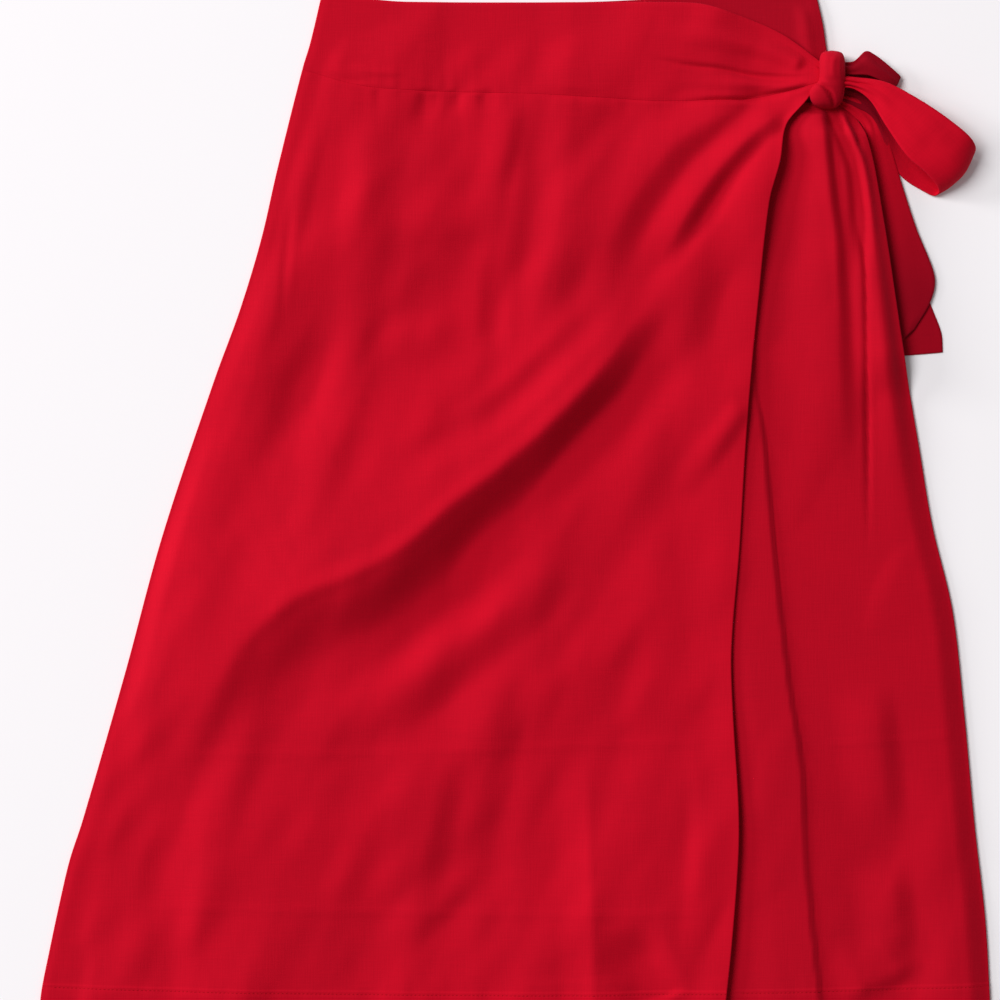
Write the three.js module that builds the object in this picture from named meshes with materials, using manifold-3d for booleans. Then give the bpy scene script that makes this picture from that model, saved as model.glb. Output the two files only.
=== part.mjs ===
// A wrap skirt laid flat on its back, with its tie in a bow at one hip. Millimetres, +Z up from the surface.
// Places on the garment are given as "across" (from the middle of the waist, to the right) and "down"
// (from the waist edge, towards the hem), so a point lies at x = across, y = -down.
import * as THREE from "three";
import { mergeVertices } from "three/addons/utils/BufferGeometryUtils.js";
import Module from "manifold-3d";

// Cloth and seams
const CLOTH = 1.2;
const SEAM_GAP = 0.3;
const LAYER = CLOTH + SEAM_GAP;

// Lengths down the garment
const HEM_DOWN = 765;
const HEM_RISE = 6;
const HEM_TURN = 21;
const HEM_TURN_RAISE = 0.5;
const HALF_HEM = 350;

// Side outlines of the flat skirt, from the waist to the hem
const LEFT_SIDE = [
  { down: -6, across: -133 },
  { down: 32, across: -142 },
  { down: 52, across: -148 },
  { down: 128, across: -167 },
  { down: 180, across: -179 },
  { down: 233, across: -195 },
  { down: 285, across: -214 },
  { down: 402, across: -253 },
  { down: 505, across: -281 },
  { down: 616, across: -313 },
  { down: 665, across: -328 },
  { down: 765, across: -345 },
];
const RIGHT_SIDE = [
  { down: -8, across: 236 },
  { down: 19, across: 242 },
  { down: 39, across: 245 },
  { down: 60, across: 250 },
  { down: 75, across: 259 },
  { down: 102, across: 274 },
  { down: 160, across: 286 },
  { down: 264, across: 302 },
  { down: 335, across: 314 },
  { down: 394, across: 324 },
  { down: 457, across: 339 },
  { down: 525, across: 347 },
  { down: 621, across: 356 },
  { down: 692, across: 364 },
  { down: 765, across: 368 },
];

// The outer wrap's free edge, and the edge of the pleat that shows beyond it
const FREE_EDGE = [
  { down: 64, across: 237 },
  { down: 76, across: 229 },
  { down: 94, across: 214 },
  { down: 122, across: 209 },
  { down: 152, across: 201 },
  { down: 226, across: 193 },
  { down: 299, across: 186 },
  { down: 342, across: 183 },
  { down: 410, across: 179 },
  { down: 486, across: 173 },
  { down: 533, across: 174 },
  { down: 601, across: 178 },
  { down: 640, across: 178 },
  { down: 709, across: 173 },
  { down: 765, across: 167 },
];
const PLEAT_EDGE = [
  { down: 60, across: 214 },
  { down: 160, across: 203 },
  { down: 255, across: 191 },
  { down: 285, across: 190 },
  { down: 323, across: 197 },
  { down: 419, across: 206 },
  { down: 514, across: 217 },
  { down: 574, across: 226 },
  { down: 660, across: 231 },
  { down: 765, across: 242 },
];
// The inner wrap's own free edge, hidden under the outer wrap
const HIDDEN_EDGE = [
  { down: 60, across: 105 },
  { down: 400, across: 85 },
  { down: 765, across: 66 },
];
// How far the outer wrap's free edge stands off the layer below it
const FREE_EDGE_LIFT = [
  { down: 60, lift: 3 },
  { down: 94, lift: 4 },
  { down: 160, lift: 4.4 },
  { down: 226, lift: 3.4 },
  { down: 290, lift: 1 },
  { down: 420, lift: 0.5 },
  { down: 533, lift: 1 },
  { down: 622, lift: 3.5 },
  { down: 700, lift: 5 },
  { down: 765, lift: 5 },
];
const LIFT_REACH = 42;
const LIFT_FROM = { none: 40, full: 80 };

// Upper edges of the two yokes, and the seam between yoke and panel; the outer yoke ends in the knot
const YOKE_END = 240;
const OUTER_WAIST = [
  { across: -133, down: -6 },
  { across: -100, down: -1 },
  { across: -69, down: 1.5 },
  { across: 65, down: 2 },
  { across: 142, down: 2.5 },
  { across: 158, down: 5 },
  { across: 182, down: 13 },
  { across: 204, down: 22 },
  { across: 218, down: 30 },
  { across: 240, down: 47 },
];
const INNER_WAIST = [
  { across: -133, down: -6 },
  { across: -100, down: -1 },
  { across: -69, down: 1.5 },
  { across: 65, down: 1.5 },
  { across: 150, down: -3 },
  { across: 236, down: -8 },
];
const OUTER_SEAM = [
  { across: -148, down: 52 },
  { across: -105, down: 64 },
  { across: -58, down: 68 },
  { across: 24, down: 70.5 },
  { across: 88, down: 74 },
  { across: 120, down: 76 },
  { across: 160, down: 75 },
  { across: 188, down: 74 },
  { across: 210, down: 70 },
  { across: 240, down: 62 },
];
const INNER_SEAM = [
  { across: -148, down: 52 },
  { across: -105, down: 64 },
  { across: -58, down: 68 },
  { across: 24, down: 70.5 },
  { across: 120, down: 75 },
  { across: 210, down: 76 },
  { across: 259, down: 78 },
];

// Folds. A route is a list of [across, down] points along the crest, from the knot outwards.
// "lit" is the width of the side on the right hand of the route, "shade" that on its left hand,
// "spread" how many times wider the fold has grown at its far end, "starts" and "fades" the shares
// of the route over which it comes up and dies away, and "sharp" how steeply it leaves the crest.
const OUTER_FOLDS = [
  {
    name: "main drape",
    route: [
      [124, 212], [116, 222], [97, 248], [76, 277], [45, 311], [1, 350], [-37, 379], [-72, 410],
      [-106, 432], [-142, 447],
    ],
    rise: 15, lit: 19, shade: 17, spread: 2.7, starts: 0.33, fades: 0.34, sharp: 0.3,
  },
  {
    name: "main drape's end",
    route: [
      [-20, 368], [-72, 408], [-112, 430], [-150, 446], [-184, 475], [-214, 518], [-243, 566], [-262, 606],
    ],
    rise: 7.5, lit: 30, shade: 50, spread: 1.2, starts: 0.35, fades: 0.35, sharp: 0.3,
  },
  {
    name: "knot drape",
    route: [[216, 92], [199, 118], [178, 150], [154, 184], [130, 212], [108, 238]],
    rise: 5, lit: 11, shade: 30, spread: 1.2, starts: 0.1, fades: 0.3, sharp: 0,
  },
  {
    name: "upper drape",
    route: [[212, 84], [193, 98], [172, 118], [155, 139], [142, 158], [129, 180], [113, 208]],
    rise: 6.5, lit: 20, shade: 12, spread: 1.3, starts: 0.12, fades: 0.35, sharp: 0.2,
  },
  {
    name: "hip drape",
    route: [
      [196, 80], [172, 85], [150, 94], [130, 108], [114, 128], [99, 150], [86, 174], [70, 204], [52, 236],
    ],
    rise: 5.5, lit: 30, shade: 19, spread: 1.3, starts: 0.2, fades: 0.5, sharp: 0.1,
  },
  {
    name: "middle lit swell",
    route: [[84, 92], [66, 130], [50, 170], [34, 214], [14, 262]],
    rise: 3.2, lit: 26, shade: 26, spread: 1.1, starts: 0.3, fades: 0.4, sharp: 0,
  },
  {
    name: "middle fall",
    route: [[10, 71], [2, 112], [-6, 150], [-16, 188]],
    rise: 2, lit: 20, shade: 14, spread: 1, starts: 0.2, fades: 0.5, sharp: 0,
  },
  {
    name: "hip fall",
    route: [[-93, 71], [-97, 112], [-101, 157], [-102, 200], [-108, 245]],
    rise: 2.8, lit: 24, shade: 30, spread: 1, starts: 0.3, fades: 0.45, sharp: 0,
  },
  {
    name: "side trough",
    route: [[-110, 215], [-122, 245], [-140, 280], [-160, 320], [-182, 360], [-212, 396]],
    rise: -3.4, lit: 18, shade: 20, spread: 1.2, starts: 0.35, fades: 0.45, sharp: 0,
  },
  {
    name: "side ridge",
    route: [[-98, 196], [-107, 240], [-118, 285], [-132, 330], [-146, 372], [-158, 404]],
    rise: 3.2, lit: 16, shade: 24, spread: 1.1, starts: 0.35, fades: 0.35, sharp: 0,
  },
  {
    name: "parallel trough",
    route: [[84, 226], [48, 262], [12, 298], [-28, 326], [-66, 346], [-100, 364]],
    rise: -3, lit: 15, shade: 15, spread: 1.3, starts: 0.35, fades: 0.5, sharp: 0,
  },
  {
    name: "lower drape",
    route: [[58, 410], [22, 442], [-14, 472], [-50, 500], [-88, 526], [-128, 546], [-172, 560]],
    rise: 6.5, lit: 26, shade: 28, spread: 1.3, starts: 0.35, fades: 0.55, sharp: 0,
  },
  {
    name: "foot of the drape",
    route: [[-150, 500], [-176, 540], [-196, 588], [-208, 640]],
    rise: 3.4, lit: 30, shade: 40, spread: 1.2, starts: 0.4, fades: 0.45, sharp: 0,
  },
  {
    name: "low fall",
    route: [[12, 490], [-2, 530], [-12, 575], [-26, 620], [-44, 662]],
    rise: 3.6, lit: 28, shade: 20, spread: 1, starts: 0.4, fades: 0.45, sharp: 0,
  },
  {
    name: "low middle swell",
    route: [[-66, 556], [-86, 606], [-98, 660], [-102, 720]],
    rise: 3.2, lit: 40, shade: 44, spread: 1, starts: 0.4, fades: 0.3, sharp: 0,
  },
  {
    name: "foot fall",
    route: [[-18, 640], [-40, 668], [-66, 696], [-88, 724]],
    rise: 3, lit: 24, shade: 18, spread: 1, starts: 0.4, fades: 0.45, sharp: 0,
  },
  {
    name: "inner edge step",
    route: [[66, 560], [67, 637], [69, 697], [70, 760]],
    rise: 3.4, lit: 34, shade: 58, spread: 1, starts: 0.35, fades: 0.05, sharp: 0.3,
  },
  {
    name: "low left fall",
    route: [[-210, 560], [-216, 600], [-224, 660], [-229, 760]],
    rise: 2.6, lit: 22, shade: 48, spread: 1, starts: 0.35, fades: 0.05, sharp: 0.2,
  },
  {
    name: "notch pinch",
    route: [[184, 300], [170, 322], [150, 350], [124, 380]],
    rise: 2.6, lit: 12, shade: 10, spread: 1.6, starts: 0.15, fades: 0.8, sharp: 0,
  },
  {
    name: "notch fall",
    route: [[154, 254], [130, 306], [106, 356], [78, 412], [52, 446]],
    rise: 2.6, lit: 24, shade: 24, spread: 1.3, starts: 0.4, fades: 0.5, sharp: 0,
  },
  {
    name: "yoke swell",
    route: [[228, 50], [206, 40], [176, 32], [140, 26], [104, 24]],
    rise: 3.2, lit: 9, shade: 9, spread: 1.6, starts: 0.05, fades: 0.75, sharp: 0.1,
  },
  {
    name: "lower yoke swell",
    route: [[234, 65], [208, 65.5], [180, 63.5], [150, 62], [116, 62]],
    rise: 2.6, lit: 6, shade: 6, spread: 1.6, starts: 0.05, fades: 0.7, sharp: 0.1,
  },
];
const INNER_FOLDS = [
  {
    name: "broad pleat",
    route: [[233, 80], [229, 105], [226, 135], [224, 172], [226, 217], [230, 290], [234, 380]],
    rise: 4, lit: 13, shade: 22, spread: 2, starts: 0.03, fades: 0.75, sharp: 0,
  },
  {
    name: "middle pleat",
    route: [[256, 82], [263, 101], [268, 118], [275, 140], [282, 168]],
    rise: 3, lit: 5, shade: 5, spread: 1.3, starts: 0.05, fades: 0.6, sharp: 0,
  },
  {
    name: "side pleat",
    route: [[268, 94], [275, 118], [280, 150], [284, 185], [288, 225], [292, 277], [296, 345], [301, 430]],
    rise: 4.6, lit: 9, shade: 9, spread: 2, starts: 0.06, fades: 0.6, sharp: 0,
  },
  {
    name: "crease's wide head",
    route: [[248, 78], [252, 105], [257, 128], [265, 154], [272, 184]],
    rise: -3.6, lit: 8, shade: 8, spread: 1, starts: 0.05, fades: 0.5, sharp: 0.2,
  },
  {
    name: "long crease",
    route: [
      [247, 82], [250, 105], [255, 128], [263, 154], [270, 176], [274, 217], [275, 274], [276, 345], [276, 425],
    ],
    rise: -2.8, lit: 4.2, shade: 4.2, spread: 1, starts: 0.05, fades: 0.35, sharp: 0.3,
  },
  {
    name: "low side fall",
    route: [[277, 505], [281, 545], [286, 590], [290, 635]],
    rise: 3, lit: 34, shade: 13, spread: 1, starts: 0.35, fades: 0.35, sharp: 0,
  },
  {
    name: "foot side fall",
    route: [[288, 640], [294, 680], [298, 724]],
    rise: 3, lit: 32, shade: 14, spread: 1, starts: 0.35, fades: 0.3, sharp: 0,
  },
];

// How far the front stands off the layer below it, away from the side where it is sewn to the back
const OUTER_BILLOW = { height: 4.6, reach: 44, edge: 80, down: { from: -6, to: 60 } };
const INNER_BILLOW = {
  height: 2.4, roll: 13, fromHidden: { none: 20, full: 50 }, down: { from: 70, to: 110 },
};
const SOFT_FLOOR = 0.7;
const SIDE_ROLL = 16;
const INNER_SIDE_ROLL = { from: -2, to: 12 };

// The pleat whose folded edge shows beyond the outer wrap
const PLEAT_RAISE = 3;
const PLEAT_TURN = 2.5;
const PLEAT_FLAT = 26;
const PLEAT_FALL = 40;
const PLEAT_FROM = 250;
const PLEAT_FULL = 330;

// The knot: sections down its length, each with its two sides and its top
const KNOT_FLOOR = 3.1;
const KNOT_SIDES = 22;
// How square the knot's sections are: 1 is round
const KNOT_SQUARE = 0.8;
const KNOT = [
  { down: 38.5, left: 244, right: 250, top: 15 },
  { down: 40, left: 240, right: 254, top: 19 },
  { down: 44, left: 237, right: 257, top: 22 },
  { down: 52, left: 236, right: 258, top: 24 },
  { down: 60, left: 236, right: 259, top: 24 },
  { down: 65, left: 235, right: 259, top: 23 },
  { down: 70, left: 233, right: 259, top: 22 },
  { down: 75, left: 232, right: 258, top: 20 },
  { down: 79, left: 234, right: 256, top: 17 },
  { down: 81, left: 239, right: 252, top: 12 },
];
const KNOT_DRAW = { across: 238, down: 62, rise: 6, reachAcross: 26, reachDown: 20 };

// The bow. Each row is a section of the band: its two edges as [across, down, height of the wall's middle].
const FRONT_LOOP = [
  { upper: [252, 58, 16], lower: [252, 66, 16] },
  { upper: [264, 59.5, 18], lower: [264, 67.5, 17] },
  { upper: [286.5, 63, 20], lower: [276, 76, 18.5] },
  { upper: [310, 75, 20.5], lower: [288, 95, 19] },
  { upper: [334, 91, 20], lower: [304, 118, 18] },
  { upper: [351, 105, 17.5], lower: [322, 131, 16] },
  { upper: [357.5, 114, 10], lower: [331, 144, 9.5] },
  { upper: [351, 121, 3], lower: [329, 146.5, 4] },
  { upper: [334, 108, 1.6], lower: [317, 139, 1.6] },
  { upper: [316, 92, 2], lower: [302, 127, 2] },
  { upper: [297, 80, 4.6], lower: [292, 107, 5] },
  { upper: [276, 68, 11], lower: [277, 86, 11.2] },
  { upper: [252, 64, 12.4], lower: [252, 76, 12.6] },
];
const REAR_LOOP = [
  { upper: [250, 47, 10], lower: [250, 55, 12] },
  { upper: [264, 47.5, 10.5], lower: [264, 56.5, 13] },
  { upper: [274, 39.5, 10], lower: [275, 57, 13] },
  { upper: [280.5, 42, 9], lower: [283, 60, 12] },
  { upper: [296, 54, 6], lower: [291, 64, 9] },
  { upper: [300, 58, 3.5], lower: [295, 66.5, 5.5] },
  { upper: [296, 60, 1.2], lower: [290, 68, 2.2] },
  { upper: [280, 49, 1.2], lower: [278, 62, 2.2] },
  { upper: [266, 48, 4.5], lower: [266, 59, 4.5] },
  { upper: [250, 49, 6.5], lower: [250, 57, 6.5] },
];
// The tails: where the band has no inner edge of its own it is tucked under the skirt's side by TAIL_TUCK
const TAIL_TUCK = 6;
const ON_SURFACE = CLOTH / 2;
const ON_TAIL = LAYER + CLOTH / 2;
const UPPER_TAIL = [
  { down: 76, inner: 251, innerHeight: 6, outer: 252, outerDown: 70, outerHeight: 9 },
  { down: 85, inner: 263, innerHeight: 6.4, outer: 271, outerDown: 75, outerHeight: 9 },
  { down: 96, inner: 273, innerHeight: 4.8, outer: 284, outerDown: 88, outerHeight: 6 },
  { down: 114, innerHeight: ON_TAIL, outer: 293, outerDown: 111, outerHeight: ON_TAIL + 0.5 },
  { down: 142, innerHeight: ON_TAIL, outer: 301.5, outerDown: 139, outerHeight: ON_TAIL },
  { down: 174, innerHeight: ON_TAIL, outer: 312, outerDown: 171, outerHeight: ON_TAIL },
  { down: 204, innerHeight: ON_TAIL, outer: 325, outerDown: 204, outerHeight: ON_TAIL },
  { down: 218, innerHeight: ON_TAIL, outer: 326, outerDown: 214, outerHeight: ON_TAIL },
  { down: 240, innerHeight: ON_TAIL, outer: 322, outerDown: 228, outerHeight: ON_TAIL },
  { down: 260, innerHeight: ON_TAIL, outer: 310.5, outerDown: 247, outerHeight: ON_TAIL },
];
const LOWER_TAIL = [
  { down: 77, inner: 256, innerHeight: 4.6, outer: 263, outerDown: 71, outerHeight: 5.4 },
  { down: 88, inner: 268, innerHeight: 3.9, outer: 279, outerDown: 82, outerHeight: 3.6 },
  { down: 93, inner: 271, innerHeight: 2.8, outer: 283, outerDown: 88, outerHeight: 2.2 },
  { down: 100, inner: 272, innerHeight: 1.2, outer: 286, outerDown: 94, outerHeight: 1.2 },
  { down: 120, innerHeight: ON_SURFACE, outer: 290, outerDown: 114, outerHeight: ON_SURFACE },
  { down: 154, innerHeight: ON_SURFACE, outer: 302, outerDown: 150, outerHeight: ON_SURFACE },
  { down: 191, innerHeight: ON_SURFACE, outer: 315, outerDown: 187, outerHeight: ON_SURFACE },
  { down: 225, innerHeight: ON_SURFACE, outer: 322, outerDown: 225, outerHeight: ON_SURFACE },
  { down: 251, innerHeight: ON_SURFACE, outer: 331, outerDown: 250, outerHeight: ON_SURFACE },
  { down: 267, innerHeight: ON_SURFACE, outer: 332, outerDown: 264, outerHeight: ON_SURFACE },
];
// Where the tails are tucked in, the inner wrap's side stands clear of them and the back is narrower
const TAIL_ZONE = { from: 90, full: 103, ease: 262, to: 300 };
const TAIL_CLEARANCE = 4.6;
const CLEAR_WIDTH = { full: 14, none: 30 };
const BACK_TUCK = 7.5;

// The outer wrap climbs onto the inner one over this stretch, ahead of the inner one's hidden edge
const CLIMB = { from: -72, to: -42 };

// Mesh fineness
const OUTLINE_STEP = 18;
const ACROSS_STEP = 20;
const ROUTE_STEPS = 40;
const OUTER_ROWS = 40;
const INNER_ROWS = 30;
const YOKE_ROWS = 5;
const YOKE_COLUMNS = 8;
const EDGE_MARGIN = 3;
const GRADIENT_STEP = 0.5;
const SAME_POINT = 1e-4;
const SIMPLER_BY = 0.02;
// Columns of the outer wrap: how far they reach from the drape's crest, and how close together they are
const DRAPE_COLUMNS = {
  left: -400, right: 560, fineReach: 60, fineStep: 7.5, coarseStep: 15, atWaist: 0.75, atHem: 1.1,
};
// A line down the garment that follows the crest of the knot drape and then of the main drape
const DRAPE_LINE = [
  { down: 92, across: 216 },
  { down: 150, across: 178 },
  { down: 212, across: 127 },
  { down: 248, across: 97 },
  { down: 311, across: 45 },
  { down: 350, across: 1 },
  { down: 410, across: -72 },
  { down: 447, across: -142 },
  { down: 475, across: -184 },
  { down: 518, across: -214 },
  { down: 606, across: -262 },
  { down: 765, across: -345 },
];
// The inner wrap's crease goes on as a line of columns below its end
const CREASE_END = { down: 416, across: 276, slope: 0.12 };
const PLEAT_COLUMN = 2;
const CREASE_COLUMN = 4;
const PANEL_TOP = 73;
// How much closer the rows are at the gathered top, and the share of the way between the hem's two rows
const CLOSER_AT_TOP = 0.35;
const HEM_STEP = 0.002;
const LOOP_MESH = { steps: 34, across: 4, floor: 0 };
const TAIL_MESH = { steps: 22, across: 3 };

const CLOTH_LOOK = { color: 0xb5061f, roughness: 0.9, metalness: 0, side: THREE.DoubleSide };
const SHADED_CLOTH_LOOK = { color: 0x9c0419, roughness: 0.92, metalness: 0, side: THREE.DoubleSide };

// Curves and blends

const clamp01 = (value) => Math.min(1, Math.max(0, value));

function smooth(from, to, value) {
  const share = clamp01((value - from) / (to - from));
  return share * share * (3 - 2 * share);
}

// A smooth line through a table: the column "to" as a function of the column "from".
function lineThrough(rows, from, to) {
  const slope = (a, b) => (rows[b][to] - rows[a][to]) / (rows[b][from] - rows[a][from]);
  const last = rows.length - 1;
  const slopes = rows.map((row, i) => slope(Math.max(0, i - 1), Math.min(last, i + 1)));
  return (at) => {
    if (at <= rows[0][from]) return rows[0][to] + slopes[0] * (at - rows[0][from]);
    if (at >= rows[last][from]) return rows[last][to] + slopes[last] * (at - rows[last][from]);
    const i = rows.findIndex((row) => row[from] > at) - 1;
    const span = rows[i + 1][from] - rows[i][from];
    const t = (at - rows[i][from]) / span;
    const rise = t * t * (3 - 2 * t);
    const leave = t * (1 - t) * (1 - t) * span * slopes[i];
    const arrive = t * t * (t - 1) * span * slopes[i + 1];
    return rows[i][to] * (1 - rise) + rows[i + 1][to] * rise + leave + arrive;
  };
}

const leftSide = lineThrough(LEFT_SIDE, "down", "across");
const rightSide = lineThrough(RIGHT_SIDE, "down", "across");
const freeEdge = lineThrough(FREE_EDGE, "down", "across");
const pleatEdge = lineThrough(PLEAT_EDGE, "down", "across");
const hiddenEdge = lineThrough(HIDDEN_EDGE, "down", "across");
const freeEdgeLift = lineThrough(FREE_EDGE_LIFT, "down", "lift");
const outerWaist = lineThrough(OUTER_WAIST, "across", "down");
const innerWaist = lineThrough(INNER_WAIST, "across", "down");
const outerSeam = lineThrough(OUTER_SEAM, "across", "down");
const innerSeam = lineThrough(INNER_SEAM, "across", "down");
const hem = (across) => HEM_DOWN - HEM_RISE * (across / HALF_HEM) ** 2;

// Folds

// The height that a list of folds adds at a place. Each crest is a smooth curve through its route.
function foldField(folds) {
  const crests = folds.map((fold) => {
    const curve = new THREE.SplineCurve(fold.route.map(([across, down]) => new THREE.Vector2(across, down)));
    return { fold, points: curve.getSpacedPoints(ROUTE_STEPS) };
  });
  return (across, down) =>
    crests.reduce((sum, { fold, points }) => sum + foldHeight(fold, points, across, down), 0);
}

function foldHeight(fold, points, across, down) {
  let nearest = { distance: Infinity };
  for (let i = 0; i + 1 < points.length; i++) {
    const run = points[i + 1].x - points[i].x;
    const fall = points[i + 1].y - points[i].y;
    const dx = across - points[i].x;
    const dy = down - points[i].y;
    const t = clamp01((dx * run + dy * fall) / (run * run + fall * fall));
    const distance = Math.hypot(dx - t * run, dy - t * fall);
    const onRight = run * dy - fall * dx > 0;
    if (distance < nearest.distance) nearest = { distance, along: (i + t) / (points.length - 1), onRight };
  }
  const { distance, along, onRight } = nearest;
  const width = (onRight ? fold.lit : fold.shade) * (1 + (fold.spread - 1) * along);
  if (distance >= width) return 0;
  const soft = (1 + Math.cos((Math.PI * distance) / width)) / 2;
  const steep = (1 - distance / width) ** 2;
  const bump = soft + (steep - soft) * fold.sharp;
  return fold.rise * bump * smooth(0, fold.starts, along) * smooth(0, fold.fades, 1 - along);
}

const outerFolds = foldField(OUTER_FOLDS);
const innerFolds = foldField(INNER_FOLDS);

// Heights of the layers. "Under" is the height of a layer's lower face above the surface.

function inTailZone(down) {
  return smooth(TAIL_ZONE.from, TAIL_ZONE.full, down) * (1 - smooth(TAIL_ZONE.ease, TAIL_ZONE.to, down));
}

// The height where it is above zero, and softly towards zero below that.
function aboveFloor(height) {
  return (height + Math.hypot(height, SOFT_FLOOR)) / 2;
}

// The second layer: flat where it is hidden, pleated towards the knot, and clear of the tails at its side.
function innerUnder(across, down) {
  const fromPleat = pleatEdge(down) - across;
  const pleat =
    PLEAT_RAISE *
    smooth(-PLEAT_TURN / 2, PLEAT_TURN / 2, fromPleat) *
    (1 - smooth(PLEAT_FLAT, PLEAT_FLAT + PLEAT_FALL, fromPleat)) *
    smooth(PLEAT_FROM, PLEAT_FULL, down);
  const fromSide = rightSide(down) - across;
  const inZone = inTailZone(down);
  const roll = Math.max(smooth(INNER_SIDE_ROLL.from, INNER_SIDE_ROLL.to, fromSide), inZone / 2);
  const clear = TAIL_CLEARANCE * inZone * (1 - smooth(CLEAR_WIDTH.full, CLEAR_WIDTH.none, fromSide));
  const { height, fromHidden, down: start } = INNER_BILLOW;
  const shown = smooth(fromHidden.none, fromHidden.full, across - hiddenEdge(down));
  const billow = height * shown * smooth(start.from, start.to, down) * smooth(0, INNER_BILLOW.roll, fromSide);
  return LAYER + pleat + aboveFloor(billow + innerFolds(across, down) * roll) + clear;
}

// The top of whatever lies below the outer wrap, ramped up ahead of the inner wrap's hidden edge.
function topBelowOuter(across, down) {
  const covered = smooth(CLIMB.from, CLIMB.to, across - hiddenEdge(down));
  return CLOTH + covered * (wallTop(innerUnder, across, down) - CLOTH);
}

const BELOW_SAMPLES = [
  [0, 0], [9, 0], [-9, 0], [0, 9], [0, -9],
];

function outerUnder(across, down) {
  const below = Math.max(...BELOW_SAMPLES.map(([dx, dy]) => topBelowOuter(across + dx, down + dy)));
  const fromEdge = freeEdge(down) - across;
  const fromSide = across - leftSide(down);
  const nearEdge = (1 - smooth(0, LIFT_REACH, fromEdge)) * smooth(LIFT_FROM.none, LIFT_FROM.full, down);
  const toKnot = Math.hypot(
    (across - KNOT_DRAW.across) / KNOT_DRAW.reachAcross,
    (down - KNOT_DRAW.down) / KNOT_DRAW.reachDown,
  );
  const draw = KNOT_DRAW.rise * Math.exp(-toKnot * toKnot);
  const { height, reach, edge, down: start } = OUTER_BILLOW;
  const awayFromSides = smooth(0, reach, fromSide) * smooth(0, edge, fromEdge);
  const billow = height * awayFromSides * smooth(start.from, start.to, down);
  const folds = smooth(0, SIDE_ROLL, fromSide) * outerFolds(across, down);
  return below + SEAM_GAP + freeEdgeLift(down) * nearEdge + draw + aboveFloor(billow + folds);
}

// A wall's upper face, CLOTH away from the lower one square to the slope, and a little more at the turned hem.
function wallTop(under, across, down) {
  const step = GRADIENT_STEP;
  const run = (under(across + step, down) - under(across - step, down)) / (2 * step);
  const fall = (under(across, down + step) - under(across, down - step)) / (2 * step);
  const hemTurn = HEM_TURN_RAISE * smooth(HEM_TURN + 1, HEM_TURN - 1, hem(across) - down);
  return under(across, down) + CLOTH * Math.sqrt(1 + run * run + fall * fall) + hemTurn;
}

// Meshes

// Rows of points between an upper and a lower line and two sides. Columns are lines too, so that
// triangles follow the folds; a column is left out of a row where it lies outside the sides.
function rowsOf({ top, bottom, left, right, columns, shares }) {
  return shares.map((share) => {
    const downAt = (across) => top(across) + (bottom(across) - top(across)) * share;
    const meet = (side) => {
      let across = side(downAt(0));
      for (let i = 0; i < 30; i++) across = (across + side(downAt(across))) / 2;
      return across;
    };
    const from = meet(left);
    const to = meet(right);
    const row = [{ across: from, down: downAt(from), key: -Infinity }];
    columns.forEach((column, key) => {
      const across = column(share);
      if (across > from + EDGE_MARGIN && across < to - EDGE_MARGIN)
        row.push({ across, down: downAt(across), key });
    });
    row.push({ across: to, down: downAt(to), key: Infinity });
    return row;
  });
}

// A closed wall over rows of points: upper face, lower face and the edge all round.
function wallOver(rows, under) {
  const positions = [];
  const faces = [];
  let count = 0;
  for (const row of rows)
    for (const point of row) {
      point.index = count++;
      positions.push(point.across, -point.down, under(point.across, point.down));
      positions.push(point.across, -point.down, wallTop(under, point.across, point.down));
    }
  const lower = (point) => point.index * 2;
  const upper = (point) => point.index * 2 + 1;
  const face = (a, b, c) => {
    faces.push(upper(a), upper(b), upper(c));
    faces.push(lower(a), lower(c), lower(b));
  };
  const edge = (a, b) => {
    faces.push(upper(a), lower(a), lower(b));
    faces.push(upper(a), lower(b), upper(b));
  };
  for (let r = 0; r + 1 < rows.length; r++) {
    const above = rows[r];
    const below = rows[r + 1];
    let i = 0;
    let j = 0;
    while (i + 1 < above.length || j + 1 < below.length) {
      const nextAbove = i + 1 < above.length ? above[i + 1].key : Infinity;
      const nextBelow = j + 1 < below.length ? below[j + 1].key : Infinity;
      const stepAbove = j + 1 === below.length || (i + 1 < above.length && nextAbove < nextBelow);
      if (stepAbove) face(above[i], below[j], above[++i]);
      else face(above[i], below[j], below[++j]);
    }
    edge(above[0], below[0]);
    edge(below.at(-1), above.at(-1));
  }
  const first = rows[0];
  const last = rows.at(-1);
  for (let i = 0; i + 1 < last.length; i++) edge(last[i], last[i + 1]);
  for (let i = first.length - 1; i > 0; i--) edge(first[i], first[i - 1]);
  return indexed(positions, faces);
}

function indexed(positions, faces) {
  const geometry = new THREE.BufferGeometry();
  geometry.setAttribute("position", new THREE.Float32BufferAttribute(positions, 3));
  geometry.setIndex(faces);
  return geometry;
}

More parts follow.
